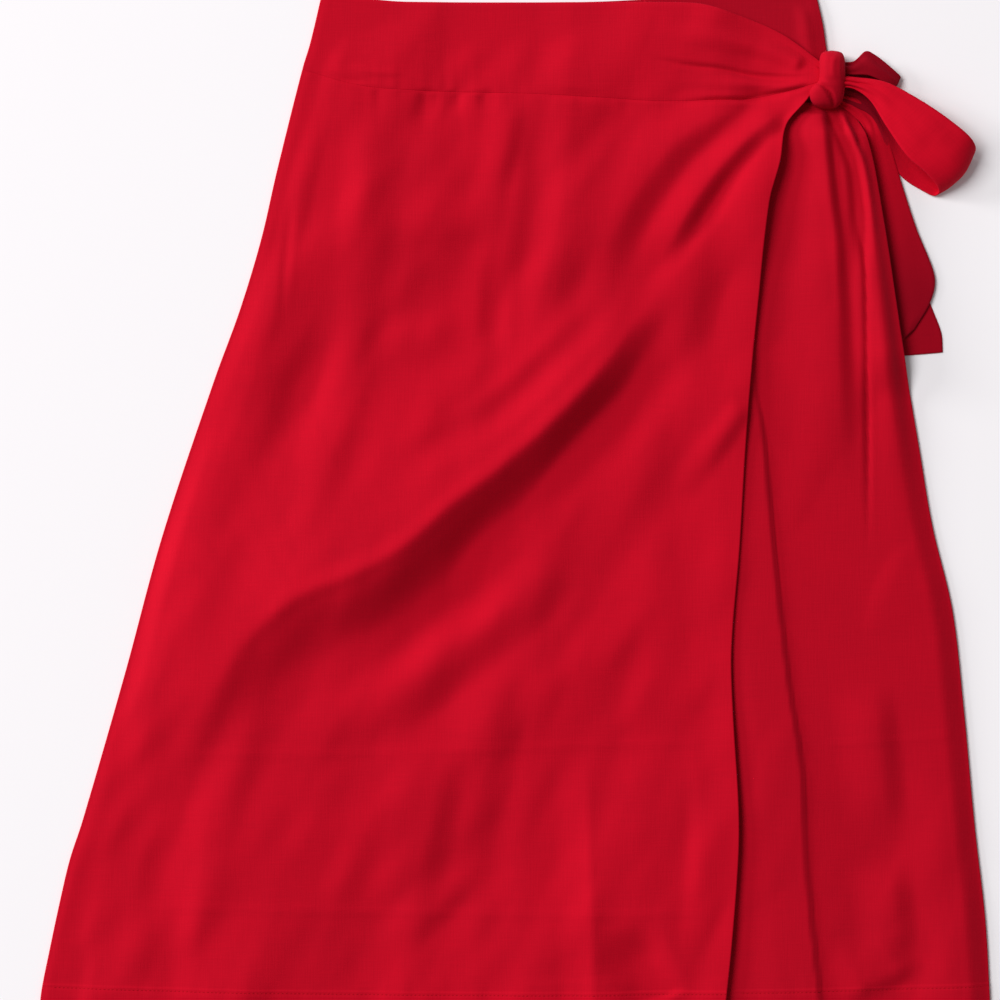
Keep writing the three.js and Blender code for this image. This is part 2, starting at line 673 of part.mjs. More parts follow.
// A band of cloth between two edges: a list of [leftPoint, rightPoint] sections, thickened both ways and
// crowned by "bulge" on the side away from its normal, which is a loop's outer side.
function bandBetween(sections, { steps, across, bulge, floor }) {
  const side = (index) =>
    new THREE.CatmullRomCurve3(sections.map((section) => section[index]), false, "centripetal");
  const leftEdge = side(0);
  const rightEdge = side(1);
  const middle = [];
  for (let i = 0; i <= steps; i++) {
    const from = leftEdge.getPoint(i / steps);
    const to = rightEdge.getPoint(i / steps);
    middle.push(Array.from({ length: across + 1 }, (_, j) => from.clone().lerp(to, j / across)));
  }
  const at = (i, j) => middle[Math.min(steps, Math.max(0, i))][Math.min(across, Math.max(0, j))];
  const normal = (i, j) => {
    const along = at(i + 1, j).clone().sub(at(i - 1, j));
    const over = at(i, j + 1).clone().sub(at(i, j - 1));
    return over.cross(along).normalize();
  };
  const positions = [];
  const faces = [];
  for (let i = 0; i <= steps; i++)
    for (let j = 0; j <= across; j++) {
      const n = normal(i, j);
      const crown = -bulge * Math.sin((Math.PI * j) / across);
      for (const offset of [crown - CLOTH / 2, crown + CLOTH / 2]) {
        const point = at(i, j).clone().addScaledVector(n, offset);
        positions.push(point.x, point.y, Math.max(floor, point.z));
      }
    }
  const index = (i, j, upper) => 2 * (i * (across + 1) + j) + upper;
  const quad = (a, b, c, d) => faces.push(a, b, c, a, c, d);
  for (let i = 0; i < steps; i++) {
    for (let j = 0; j < across; j++) {
      quad(index(i, j, 1), index(i, j + 1, 1), index(i + 1, j + 1, 1), index(i + 1, j, 1));
      quad(index(i, j, 0), index(i + 1, j, 0), index(i + 1, j + 1, 0), index(i, j + 1, 0));
    }
    quad(index(i, 0, 0), index(i, 0, 1), index(i + 1, 0, 1), index(i + 1, 0, 0));
    quad(index(i, across, 0), index(i + 1, across, 0), index(i + 1, across, 1), index(i, across, 1));
  }
  for (let j = 0; j < across; j++) {
    quad(index(0, j, 0), index(0, j + 1, 0), index(0, j + 1, 1), index(0, j, 1));
    quad(index(steps, j, 0), index(steps, j, 1), index(steps, j + 1, 1), index(steps, j + 1, 0));
  }
  return indexed(positions, faces);
}

const squared = (share) => Math.sign(share) * Math.abs(share) ** KNOT_SQUARE;

// A rounded solid through oval sections, closed at both ends by a point.
function loftDown(sections, floor, grow) {
  const positions = [];
  const faces = [];
  const middleHeight = (section) => (section.top + floor) / 2;
  for (const section of sections) {
    const centre = (section.left + section.right) / 2;
    const halfWidth = (section.right - section.left) / 2 + grow;
    const halfHeight = (section.top - floor) / 2 + grow;
    for (let k = 0; k < KNOT_SIDES; k++) {
      const turn = (2 * Math.PI * k) / KNOT_SIDES;
      positions.push(
        centre + halfWidth * squared(Math.cos(turn)),
        -section.down,
        middleHeight(section) + halfHeight * squared(Math.sin(turn)),
      );
    }
  }
  const rings = sections.length;
  const start = sections[0];
  const end = sections.at(-1);
  positions.push((start.left + start.right) / 2, -start.down + 1 + grow, middleHeight(start));
  positions.push((end.left + end.right) / 2, -end.down - 1 - grow, middleHeight(end));
  const startPoint = rings * KNOT_SIDES;
  for (let k = 0; k < KNOT_SIDES; k++) {
    const next = (k + 1) % KNOT_SIDES;
    faces.push(startPoint, next, k);
    for (let r = 0; r + 1 < rings; r++) {
      const here = r * KNOT_SIDES;
      const there = here + KNOT_SIDES;
      faces.push(here + k, here + next, there + next);
      faces.push(here + k, there + next, there + k);
    }
    const lastRing = (rings - 1) * KNOT_SIDES;
    faces.push(startPoint + 1, lastRing + k, lastRing + next);
  }
  return indexed(positions, faces);
}

// Cutting one solid clear of another

const wasm = await Module();
wasm.setup();

function solidOf(geometry) {
  const merged = mergeVertices(geometry, SAME_POINT);
  return new wasm.Manifold(
    new wasm.Mesh({
      numProp: 3,
      vertProperties: new Float32Array(merged.attributes.position.array),
      triVerts: new Uint32Array(merged.index.array),
    }),
  );
}

// The largest piece of a geometry that is left clear of a cutter.
function clearOf(geometry, cutter) {
  const pieces = solidOf(geometry).subtract(solidOf(cutter)).decompose();
  const largest = pieces.reduce((best, piece) => (piece.volume() > best.volume() ? piece : best));
  const mesh = largest.simplify(SIMPLER_BY).getMesh();
  return indexed(Array.from(mesh.vertProperties), Array.from(mesh.triVerts));
}

// Pieces

const evenly = (count) => Array.from({ length: count + 1 }, (_, i) => i / count);

// Shares down a panel: closer rows at the gathered top, and two close together where the hem is turned.
function panelShares(rows, length) {
  const shares = evenly(rows).map((share) => CLOSER_AT_TOP * share * share + (1 - CLOSER_AT_TOP) * share);
  const hemLine = 1 - HEM_TURN / length;
  const clearOfHem = shares.filter((share) => Math.abs(share - hemLine) > 0.5 / rows);
  return [...clearOfHem, hemLine - HEM_STEP, hemLine + HEM_STEP].sort((a, b) => a - b);
}

// Points along an upper or lower line, at whole steps across, so that the pieces on a seam share them.
function pointsAcross(line, from, to) {
  const points = [[from, line(from)]];
  for (let across = Math.ceil((from + 1) / ACROSS_STEP) * ACROSS_STEP; across < to - 1; across += ACROSS_STEP)
    points.push([across, line(across)]);
  return [...points, [to, line(to)]];
}

// Points down a side, between two heights and without its ends.
function pointsDown(side, from, to) {
  const steps = Math.max(3, Math.round((to - from) / OUTLINE_STEP));
  return evenly(steps)
    .slice(1, -1)
    .map((share) => [side(from + (to - from) * share), from + (to - from) * share]);
}

function backOutline(upper, lower) {
  const right = (down) => rightSide(down) - BACK_TUCK * inTailZone(down);
  const corner = (line, side) => {
    let across = side(line(0));
    for (let i = 0; i < 30; i++) across = (across + side(line(across))) / 2;
    return across;
  };
  const [upperLeft, upperRight] = [corner(upper, leftSide), corner(upper, right)];
  const [lowerLeft, lowerRight] = [corner(lower, leftSide), corner(lower, right)];
  return [
    ...pointsAcross(upper, upperLeft, upperRight),
    ...pointsDown(right, upper(upperRight), lower(lowerRight)),
    ...pointsAcross(lower, lowerLeft, lowerRight).reverse(),
    ...pointsDown(leftSide, upper(upperLeft), lower(lowerLeft)).reverse(),
  ];
}

function flatPiece(outline) {
  const shape = new THREE.Shape(outline.map(([across, down]) => new THREE.Vector2(across, -down)));
  const geometry = new THREE.ExtrudeGeometry(shape, { depth: CLOTH, bevelEnabled: false, steps: 1 });
  geometry.deleteAttribute("normal");
  geometry.deleteAttribute("uv");
  return mergeVertices(geometry, SAME_POINT);
}

function piece(name, geometry, look) {
  const mesh = new THREE.Mesh(geometry, new THREE.MeshStandardMaterial(look));
  geometry.computeVertexNormals();
  mesh.name = name;
  return mesh;
}

function backPanel() {
  return flatPiece(backOutline((across) => innerSeam(across) + SEAM_GAP, hem));
}

function backYoke() {
  return flatPiece(backOutline(innerWaist, innerSeam));
}

// Columns that keep pace with the two sides of a piece, at even shares between them.
function evenColumns(count, top, bottom, left, right) {
  return evenly(count)
    .slice(1, -1)
    .map((t) => (share) => {
      const down = top(0) + (bottom(0) - top(0)) * share;
      return left(down) + (right(down) - left(down)) * t;
    });
}

function innerFrontPanel(knot) {
  const route = INNER_FOLDS.find((fold) => fold.name === "long crease").route;
  const creaseTop = lineThrough(route.map(([across, down]) => ({ across, down })), "down", "across");
  const crease = (down) =>
    Math.min(creaseTop(down), CREASE_END.across + (down - CREASE_END.down) * CREASE_END.slope);
  const bands = [
    { from: hiddenEdge, columns: 5 },
    { from: (down) => pleatEdge(down) - PLEAT_COLUMN, columns: 1 },
    { from: (down) => pleatEdge(down) + PLEAT_COLUMN, columns: 5 },
    { from: (down) => crease(down) - CREASE_COLUMN, columns: 1 },
    { from: crease, columns: 1 },
    { from: (down) => crease(down) + CREASE_COLUMN, columns: 5 },
    { from: rightSide, columns: 0 },
  ];
  const columns = bands.flatMap((band, i) =>
    Array.from({ length: band.columns }, (_, k) => (share) => {
      const down = PANEL_TOP + (HEM_DOWN - PANEL_TOP) * share;
      const start = band.from(down);
      return start + ((bands[i + 1].from(down) - start) * k) / band.columns;
    }),
  );
  const rows = rowsOf({
    top: (across) => innerSeam(across) + SEAM_GAP, bottom: hem, left: hiddenEdge, right: rightSide,
    columns: columns.slice(1), shares: panelShares(INNER_ROWS, HEM_DOWN - PANEL_TOP),
  });
  return clearOf(wallOver(rows, innerUnder), knot);
}

// The inner yoke lies flat: the folds of its panel start below it.
function innerFrontYoke() {
  const rows = rowsOf({
    top: innerWaist, bottom: innerSeam, left: hiddenEdge, right: rightSide,
    columns: evenColumns(YOKE_COLUMNS, innerWaist, innerSeam, hiddenEdge, rightSide), shares: evenly(YOKE_ROWS),
  });
  return wallOver(rows, () => LAYER);
}

// Columns offset from the drape's line, closest together beside it and spreading towards the hem.
function drapeColumns() {
  const { left, right, fineReach, fineStep, coarseStep, atWaist, atHem } = DRAPE_COLUMNS;
  const crest = lineThrough(DRAPE_LINE, "down", "across");
  const offsets = [];
  for (let offset = left; offset < right; offset += Math.abs(offset) < fineReach ? fineStep : coarseStep)
    offsets.push(offset);
  return offsets.map((offset) => (share) => {
    const down = PANEL_TOP + (HEM_DOWN - PANEL_TOP) * share;
    return crest(down) + offset * (atWaist + (atHem - atWaist) * share);
  });
}

function outerFrontPanel(knot) {
  const rows = rowsOf({
    top: (across) => outerSeam(across) + SEAM_GAP, bottom: hem, left: leftSide, right: freeEdge,
    columns: drapeColumns(), shares: panelShares(OUTER_ROWS, HEM_DOWN - PANEL_TOP),
  });
  return clearOf(wallOver(rows, outerUnder), knot);
}

function outerFrontYoke(knot) {
  const rows = rowsOf({
    top: outerWaist, bottom: outerSeam, left: leftSide, right: () => YOKE_END,
    columns: drapeColumns().map((column) => () => column(0)), shares: evenly(YOKE_ROWS),
  });
  return clearOf(wallOver(rows, outerUnder), knot);
}

const place = ([across, down, height]) => new THREE.Vector3(across, -down, height);

function loop(rows, knot, bulge) {
  const sections = rows.map((row) => [place(row.lower), place(row.upper)]);
  return clearOf(bandBetween(sections, { ...LOOP_MESH, bulge }), knot);
}

function tail(rows, knot, floor) {
  const sections = rows.map((row) => {
    const inner = row.inner ?? rightSide(row.down) - TAIL_TUCK;
    return [
      place([inner, row.down, row.innerHeight]),
      place([row.outer, row.outerDown, row.outerHeight]),
    ];
  });
  return clearOf(bandBetween(sections, { ...TAIL_MESH, bulge: 0, floor }), knot);
}

// The skirt, stood with the middle of its box on the origin

const knot = loftDown(KNOT, KNOT_FLOOR, 0);
const roundKnot = loftDown(KNOT, KNOT_FLOOR, SEAM_GAP);

const skirt = new THREE.Group();
skirt.name = "wrap_skirt";
skirt.add(
  piece("back_panel", backPanel(), SHADED_CLOTH_LOOK),
  piece("back_yoke", backYoke(), SHADED_CLOTH_LOOK),
  piece("inner_front_panel", innerFrontPanel(roundKnot), CLOTH_LOOK),
  piece("inner_front_yoke", innerFrontYoke(), SHADED_CLOTH_LOOK),
  piece("outer_front_panel", outerFrontPanel(roundKnot), CLOTH_LOOK),
  piece("outer_front_yoke", outerFrontYoke(roundKnot), CLOTH_LOOK),
  piece("tie_knot", knot, CLOTH_LOOK),
  piece("bow_loop_front", loop(FRONT_LOOP, roundKnot, 0.8), CLOTH_LOOK),
  piece("bow_loop_rear", loop(REAR_LOOP, roundKnot, 0.5), SHADED_CLOTH_LOOK),
  piece("tie_tail_upper", tail(UPPER_TAIL, roundKnot, LAYER), CLOTH_LOOK),
  piece("tie_tail_lower", tail(LOWER_TAIL, roundKnot, 0), SHADED_CLOTH_LOOK),
);
const box = new THREE.Box3().setFromObject(skirt);
const middle = box.getCenter(new THREE.Vector3());
skirt.position.set(-middle.x, -middle.y, -box.min.z);

export default skirt;
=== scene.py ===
# A wrap skirt laid flat with its tie in a bow: fine folds, seams, stitches, linen, light and camera.
# Places are in millimetres: "across" runs from the middle of the waist to the right, "down" from the
# waist edge towards the hem, and "height" up from the floor, as in the part's own source.
import math

import bpy
import numpy as np
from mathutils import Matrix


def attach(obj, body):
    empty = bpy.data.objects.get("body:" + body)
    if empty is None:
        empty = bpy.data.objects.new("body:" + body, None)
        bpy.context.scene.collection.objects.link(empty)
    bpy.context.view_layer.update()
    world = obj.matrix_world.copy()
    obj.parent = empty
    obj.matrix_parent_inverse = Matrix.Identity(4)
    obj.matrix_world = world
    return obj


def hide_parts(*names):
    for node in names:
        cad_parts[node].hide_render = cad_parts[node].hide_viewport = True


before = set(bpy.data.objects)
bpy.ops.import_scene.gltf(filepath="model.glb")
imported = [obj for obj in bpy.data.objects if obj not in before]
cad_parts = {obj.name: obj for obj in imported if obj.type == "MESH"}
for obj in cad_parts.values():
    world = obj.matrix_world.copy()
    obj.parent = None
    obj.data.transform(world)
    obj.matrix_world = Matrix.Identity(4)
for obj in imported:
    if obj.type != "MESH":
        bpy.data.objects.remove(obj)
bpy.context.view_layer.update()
add_to_scene = bpy.context.scene.collection.objects.link

# Frame and cloth
ORIGIN_ACROSS = 11.812
ORIGIN_DOWN = 378.5
MM = 0.001
WALL = 1.2
SKIN = 0.9
GAP = 0.3
LAYER = WALL + GAP

# Lengths down the garment
HEM_DOWN = 765
HEM_RISE = 6
HALF_HEM = 350
HEM_TURN = 21
HEM_TURN_RAISE = 0.5
HIDDEN_HEM_STEP = 1

# Outlines of the flat skirt, as (down, across)
LEFT_SIDE = [
    (-6, -133), (32, -142), (52, -148), (128, -167), (180, -179), (233, -195), (285, -214), (402, -253),
    (505, -281), (616, -313), (645, -322.5), (679, -330.5), (712, -337.5), (742, -343.5), (765, -346),
]
RIGHT_SIDE = [
    (-8, 236), (19, 242), (39, 245), (60, 250), (75, 259), (102, 274), (160, 286), (264, 302),
    (335, 314), (394, 324), (457, 339), (525, 347), (621, 356), (692, 364), (765, 368),
]
FREE_EDGE = [
    (64, 237), (76, 229), (94, 214), (122, 209), (152, 201), (226, 193), (299, 186), (342, 183),
    (410, 179), (486, 173), (533, 174), (601, 178), (640, 178), (709, 173), (765, 167),
]
PLEAT_EDGE = [
    (60, 214), (160, 203), (255, 191), (285, 190), (323, 197), (419, 206), (514, 217), (574, 226),
    (660, 231), (765, 242),
]
HIDDEN_EDGE = [(60, 105), (400, 85), (765, 66)]
# How far the outer wrap's free edge stands off the layer below it, as (down, lift)
FREE_EDGE_LIFT = [
    (60, 3), (94, 3.6), (160, 4.2), (226, 3.8), (290, 1.8), (420, 0.3), (533, 1), (622, 3.3),
    (700, 4.2), (765, 4),
]

# Waist edges and the seams below the yokes, as (across, down)
OUTER_WAIST = [
    (-133, -6), (-100, -1), (-69, 1.5), (65, 2), (142, 2.5), (158, 5), (182, 13), (204, 22), (218, 30),
    (240, 47),
]
INNER_WAIST = [(-133, -6), (-100, -1), (-69, 1.5), (65, 1.5), (150, -3), (236, -8)]
OUTER_SEAM = [
    (-148, 52), (-105, 64), (-58, 68), (24, 70.5), (88, 74), (120, 76), (160, 75), (188, 74), (210, 70),
    (240, 62),
]
INNER_SEAM = [(-148, 52), (-105, 64), (-58, 68), (24, 70.5), (120, 75), (210, 76), (259, 78)]

# Folds: the crest's route of (across, down) points from the knot outwards, its rise, the width of its
# side on the route's right hand (lit) and left hand (shade), how many times wider it ends, the shares
# of the route over which it comes up and dies away, and how sharply both sides leave the crest.
FOLD_COLUMNS = ("route", "rise", "lit", "shade", "spread", "starts", "fades", "sharp")
OUTER_FOLDS = {
    "main drape": ([(124, 212), (116, 222), (97, 248), (76, 277), (45, 311), (1, 350), (-37, 379),
        (-74, 410), (-112, 430), (-150, 446), (-184, 474), (-214, 518), (-236, 556)],
        14, 60, 17.5, 3.7, 0.23, 0.42, 0.12),
    "main drape's crest": ([(110, 230), (97, 248), (76, 277), (45, 311), (1, 350), (-37, 379),
        (-74, 410), (-112, 430), (-150, 446), (-184, 474), (-214, 518)],
        1.6, 11, 9, 1.3, 0.2, 0.3, 0.3),
    "drape's valley": ([(132, 238), (113, 264), (92, 294), (60, 328), (18, 366), (-18, 400), (-49, 438),
        (-80, 474), (-106, 502)], -6.5, 27, 38, 1.4, 0.3, 0.35, 0),
    "main drape's end": ([(-20, 368), (-72, 408), (-112, 430), (-150, 446), (-184, 475), (-214, 518),
        (-243, 566), (-262, 606)], 6.5, 80, 58, 1.2, 0.45, 0.3, 0.2),
    "knot drape": ([(216, 92), (199, 118), (178, 150), (154, 184), (130, 212), (108, 238)],
        4, 16, 30, 1.2, 0.1, 0.3, 0),
    "upper drape": ([(212, 84), (193, 98), (172, 118), (155, 139), (142, 158), (129, 180), (113, 208)],
        6.5, 20, 12, 1.3, 0.12, 0.35, 0.2),
    "hip drape": ([(196, 80), (172, 85), (150, 94), (130, 108), (114, 128), (99, 150), (86, 174),
        (70, 204), (52, 236)], 5.5, 30, 19, 1.3, 0.2, 0.5, 0.1),
    "middle lit swell": ([(84, 92), (66, 130), (50, 170), (34, 214), (14, 262)],
        3.2, 26, 26, 1.1, 0.3, 0.4, 0),
    "inner hip trough": ([(40, 79), (34, 112), (28, 152), (19, 195), (8, 238), (0, 266)],
        -2, 18, 20, 1, 0.3, 0.3, 0),
    "left seam dent": ([(-53, 64), (-54, 75), (-58, 88), (-62, 100)], -1.9, 14, 13, 0.9, 0.35, 0.6, 0),
    "middle seam dent": ([(-34, 64), (-34, 76), (-37, 90)], -1.2, 9, 9, 0.9, 0.4, 0.6, 0),
    "right seam dent": ([(-11, 64), (-9, 75), (-12, 88)], -1.6, 12, 11, 0.9, 0.4, 0.6, 0),
    "seam sag": ([(28, 69), (48, 72), (68, 73), (90, 75)], -1.1, 6, 8, 1, 0.4, 0.4, 0),
    "dimple": ([(4, 176), (-1, 206), (-4, 240), (-5, 272)], -2.4, 17, 15, 0.9, 0.6, 0.3, 0),
    "middle fall": ([(10, 71), (2, 112), (-6, 150), (-16, 188)], 2, 20, 14, 1, 0.2, 0.5, 0),
    "hip fall": ([(-93, 71), (-97, 112), (-101, 157), (-102, 200), (-108, 245)],
        2.8, 24, 30, 1, 0.3, 0.45, 0),
    "hip ledge": ([(14, 156), (-20, 163), (-56, 166), (-88, 160)], 2.4, 28, 26, 1, 0.4, 0.4, 0),
    "low hip ledge": ([(-24, 248), (-62, 254), (-98, 250)], 2.4, 22, 26, 1, 0.4, 0.4, 0),
    "side trough": ([(-110, 215), (-122, 245), (-140, 280), (-160, 320), (-182, 360), (-212, 396)],
        -2.6, 22, 24, 1.2, 0.35, 0.45, 0),
    "side ridge": ([(-98, 196), (-107, 240), (-118, 285), (-132, 330), (-146, 372), (-158, 404)],
        2.6, 20, 26, 1.1, 0.35, 0.35, 0),
    "side line": ([(-155, 140), (-160, 190), (-165, 247)], -1.1, 6, 6, 1, 0.4, 0.4, 0),
    "upper side swell": ([(-136, 82), (-146, 120), (-156, 165), (-166, 205)],
        1.8, 16, 14, 1, 0.3, 0.4, 0),
    "parallel trough": ([(84, 226), (48, 262), (12, 298), (-28, 326), (-66, 346), (-100, 364)],
        -3, 15, 15, 1.3, 0.35, 0.5, 0),
    "lower drape": ([(58, 410), (22, 442), (-14, 472), (-50, 500), (-88, 526), (-128, 546), (-172, 560)],
        6.5, 26, 28, 1.3, 0.35, 0.55, 0),
    "foot of the drape": ([(-150, 500), (-176, 540), (-196, 588), (-208, 640)],
        3.4, 30, 40, 1.2, 0.4, 0.45, 0),
    "low fall": ([(12, 490), (-2, 530), (-12, 575), (-26, 620), (-44, 662)], 5, 40, 27, 1, 0.4, 0.4, 0),
    "low middle swell": ([(-38, 548), (-50, 600), (-62, 650), (-80, 706)], 4.2, 66, 24, 1, 0.4, 0.4, 0),
    "foot fall": ([(-18, 640), (-40, 668), (-66, 696), (-88, 724)], 3, 24, 18, 1, 0.4, 0.45, 0),
    "inner edge step": ([(66, 560), (67, 637), (69, 697), (70, 764)], 5, 28, 66, 1, 0.35, 0.03, 0.8),
    "right foot swell": ([(150, 560), (152, 620), (148, 676), (138, 720)], 2, 14, 26, 1, 0.35, 0.4, 0),
    "right foot dent": ([(96, 690), (108, 720), (122, 752)], -6, 38, 24, 1, 0.5, 0.1, 0),
    "low left fall": ([(-210, 560), (-216, 600), (-224, 660), (-229, 760)],
        2.6, 22, 48, 1, 0.35, 0.05, 0.2),
    "low left dent": ([(-248, 615), (-256, 665), (-268, 712)], -2, 18, 18, 1, 0.4, 0.4, 0),
    "corner dent": ([(-312, 700), (-318, 735), (-324, 765)], -2, 11, 14, 1, 0.4, 0.05, 0),
    "notch pinch": ([(184, 300), (170, 322), (150, 350), (124, 380)], 2.6, 12, 10, 1.6, 0.15, 0.8, 0),
    "notch fall": ([(154, 254), (130, 306), (106, 356), (78, 412), (52, 446)],
        2.6, 24, 24, 1.3, 0.4, 0.5, 0),
    "yoke swell": ([(228, 50), (206, 40), (176, 32), (140, 26), (104, 24)],
        3.2, 9, 9, 1.6, 0.05, 0.75, 0.1),
    "upper yoke crease": ([(234, 61), (212, 59.5), (188, 57), (167, 52.5), (138, 49), (106, 42)],
        -2.6, 4.6, 4.6, 0.9, 0.05, 0.4, 0.4),
    "lower yoke swell": ([(234, 65), (208, 65.5), (180, 63.5), (150, 62), (116, 62)],
        2.6, 6, 6, 1.6, 0.05, 0.7, 0.1),
    "seam groove": ([(237, 63), (222, 68), (210, 71), (188, 75), (160, 75.5), (125, 78)],
        -3, 5, 4, 0.8, 0.05, 0.4, 0.4),
    "left yoke wrinkle": ([(-132, 54), (-112, 60), (-90, 60)], -0.8, 4, 4, 1, 0.4, 0.4, 0.2),
    "second yoke wrinkle": ([(-118, 50), (-96, 54), (-70, 56)], 0.7, 4, 5, 1, 0.4, 0.4, 0.1),
    "upper storage crease": ([(166, 556), (60, 559), (-80, 564), (-250, 566)],
        0.45, 5, 5, 1, 0.1, 0.1, 0.6),
    "lower storage crease": ([(160, 684), (60, 686), (-80, 684), (-290, 680)],
        0.5, 6, 5, 1, 0.1, 0.1, 0.6),
}
INNER_FOLDS = {
    "broad pleat": ([(240, 82), (241.5, 105), (243.5, 128), (246, 154), (249, 176), (251, 217),
        (253, 290), (254, 380)], 7.2, 26, 7, 2.5, 0.02, 0.65, 0),
    "middle pleat": ([(255, 82), (260, 98), (265, 112), (270, 126), (275, 150), (279, 182)],
        3.4, 4, 6, 1.3, 0.05, 0.6, 0),
    "short crease": ([(263, 85), (266, 94), (268, 103), (271, 118)], -5.5, 4.5, 4, 1, 0.02, 0.5, 0.3),
    "side pleat": ([(268, 94), (275, 118), (280, 150), (284, 185), (288, 225), (292, 277), (296, 345),
        (301, 430)], 3.6, 10, 9, 2, 0.06, 0.6, 0),
    "low side fall": ([(277, 505), (281, 545), (286, 590), (290, 635)], 3.6, 34, 20, 1, 0.35, 0.35, 0),
    "foot side fall": ([(288, 640), (294, 680), (298, 724)], 3.6, 32, 20, 1, 0.35, 0.3, 0),
    "hem curl": ([(312, 712), (298, 725), (276, 736), (252, 745)], 3.6, 40, 15, 1, 0.3, 0.3, 0),
    "side valley": ([(284, 520), (290, 590), (296, 680), (300, 765)], -3.2, 62, 42, 1, 0.4, 0.02, 0),
    "inner storage crease": ([(340, 552), (280, 556), (240, 558)], 0.4, 5, 5, 1, 0.1, 0.1, 0.6),
}
# The creases between the pleats, cut into the inner wrap
INNER_CREASES = {
    "crease's wide head": ([(250, 80), (255, 96), (261, 110), (266.5, 124), (270, 146), (272, 176),
        (273.5, 208)], -8, 9, 4.5, 1.8, 0.01, 0.4, 0.2),
    "long crease": ([(250, 82), (255, 96), (261, 110), (266.5, 124), (270, 146), (272, 176), (274, 217),
        (275, 274), (276, 345), (276, 425)], -2.8, 5, 3, 1, 0.05, 0.35, 0.5),
}

# The pleat whose folded edge shows beyond the outer wrap
PLEAT_RAISE = 3
PLEAT_TURN = 2.5
PLEAT_FLAT = 26
PLEAT_FALL = 40
PLEAT_FROM = 250
PLEAT_FULL = 330

# The draw towards the knot, the place kept for the tails, and the climb onto the inner wrap
KNOT_DRAW = {"across": 238, "down": 62, "rise": 6, "reach_across": 26, "reach_down": 20}
TAIL_ZONE = {"from": 90, "full": 103, "ease": 262, "to": 300}
TAIL_CLEARANCE = 7.6
BACK_TUCK = 7.5
CLIMB = (-72, -42)

# How far the front stands off the layer below it, away from the side where it is sewn to the back
BILLOW = 4.2
BILLOW_REACH = 30
BILLOW_EDGE = 80
INNER_BILLOW = 4.4
INNER_ROLL = 17
SOFT_FLOOR = 0.7

# Where heights come in: at the sides, over the tails, past the hidden edge, over steps below the outer
# wrap, beside its free edge and below the waist
INNER_ROLL_IN = (-2, 12)
ROLL_BY_TAILS = 0.5
CLEARANCE_EASE = (14, 48)
SHOWN_ACROSS = (10, 120)
SHOWN_DOWN = (70, 110)
BRIDGED = 9
LIFT_REACH = 42
LIFT_DOWN = (40, 80)
OUTER_ROLL = 16
BILLOW_DOWN = (-6, 60)

# The knot: sections down its length, as (down, left, right, top)
KNOT_FLOOR = 3.1
KNOT = [
    (39.5, 243, 253.5, 15), (41, 240.5, 256, 19), (45, 239, 257.5, 22.5), (52, 239, 258, 24),
    (58, 239, 258, 24), (62, 238, 258, 23), (66, 233.5, 258, 22.5), (70, 231.5, 257.5, 21.5),
    (75, 232, 256.5, 19.5), (79, 234.5, 254.5, 16.5), (81.5, 239.5, 251, 12),
]

# The bow: sections of the band, each as its upper and lower edge (across, down, height)
FRONT_LOOP = [
    ((252, 58, 15), (252, 66, 15)), ((264, 59.5, 16.8), (264, 67.5, 16)),
    ((286.5, 63, 19), (276, 76, 17.5)),
    ((310, 75, 20.6), (288, 95, 19)), ((334, 91, 21.6), (304, 118, 19.5)),
    ((351, 105, 19), (319, 131, 17)), ((355.5, 112, 11), (327, 139.5, 12)),
    ((353.5, 117, 4.4), (329, 144, 6)), ((349, 118, 1.4), (326, 146.5, 2.4)),
    ((336, 109, 1.2), (317, 142.5, 1.3)), ((316, 92, 1.4), (300.5, 131, 1.4)),
    ((297, 78, 2.6), (290, 111, 2.8)), ((276, 66, 5), (277, 86, 5.6)), ((252, 61, 6.4), (252, 76, 7)),
]
REAR_LOOP = [
    ((250, 47, 10), (250, 55, 12)), ((264, 47.5, 10.5), (264, 56.5, 13)),
    ((274, 39.5, 10), (275, 57, 13)), ((280.5, 42, 9), (283, 60, 12)),
    ((296, 54, 6), (291, 64, 9)), ((300, 58, 3.5), (295, 66.5, 5.5)),
    ((296, 60, 1.2), (290, 68, 2.2)), ((280, 49, 1.2), (278, 62, 2.2)), ((266, 48, 4.5), (266, 59, 4.5)),
    ((250, 49, 6.5), (250, 57, 6.5)),
]
# The tails: (down, inner, inner height, outer, outer down, outer height); with no inner edge of its
# own, a section is tucked under the skirt's side by TAIL_TUCK
TAIL_TUCK = 6
ON_FLOOR = WALL / 2
ON_TAIL = LAYER + WALL / 2
UPPER_TAIL = [
    (76, 251, 4.4, 252, 70, 5.4), (85, 263, 4.2, 271, 75, 4.4), (96, 273, 3.4, 284, 88, 3.4),
    (114, None, ON_TAIL, 293, 111, ON_TAIL + 0.5), (142, None, ON_TAIL, 301.5, 139, ON_TAIL),
    (174, None, ON_TAIL, 312, 171, ON_TAIL), (204, None, ON_TAIL, 325, 204, ON_TAIL),
    (218, None, ON_TAIL, 326, 214, ON_TAIL), (240, None, ON_TAIL, 322, 228, ON_TAIL),
    (260, None, ON_TAIL, 310.5, 247, ON_TAIL),
]
LOWER_TAIL = [
    (77, 255, 2.8, 264, 70, 2.8), (88, 267, 2.2, 280, 81, 2), (93, 271, 1.6, 284, 88, 1.4),
    (99, 270, 1.2, 287, 94, 1.2),
    (120, None, ON_FLOOR, 290, 114, ON_FLOOR), (154, None, ON_FLOOR, 302, 150, ON_FLOOR),
    (191, None, ON_FLOOR, 315, 187, ON_FLOOR), (225, None, ON_FLOOR, 322, 225, ON_FLOOR),
    (251, None, ON_FLOOR, 331, 250, ON_FLOOR), (267, None, ON_FLOOR, 332, 264, ON_FLOOR),
]


# Curves and blends

# Keeps a divisor above zero
TINY = 1e-12


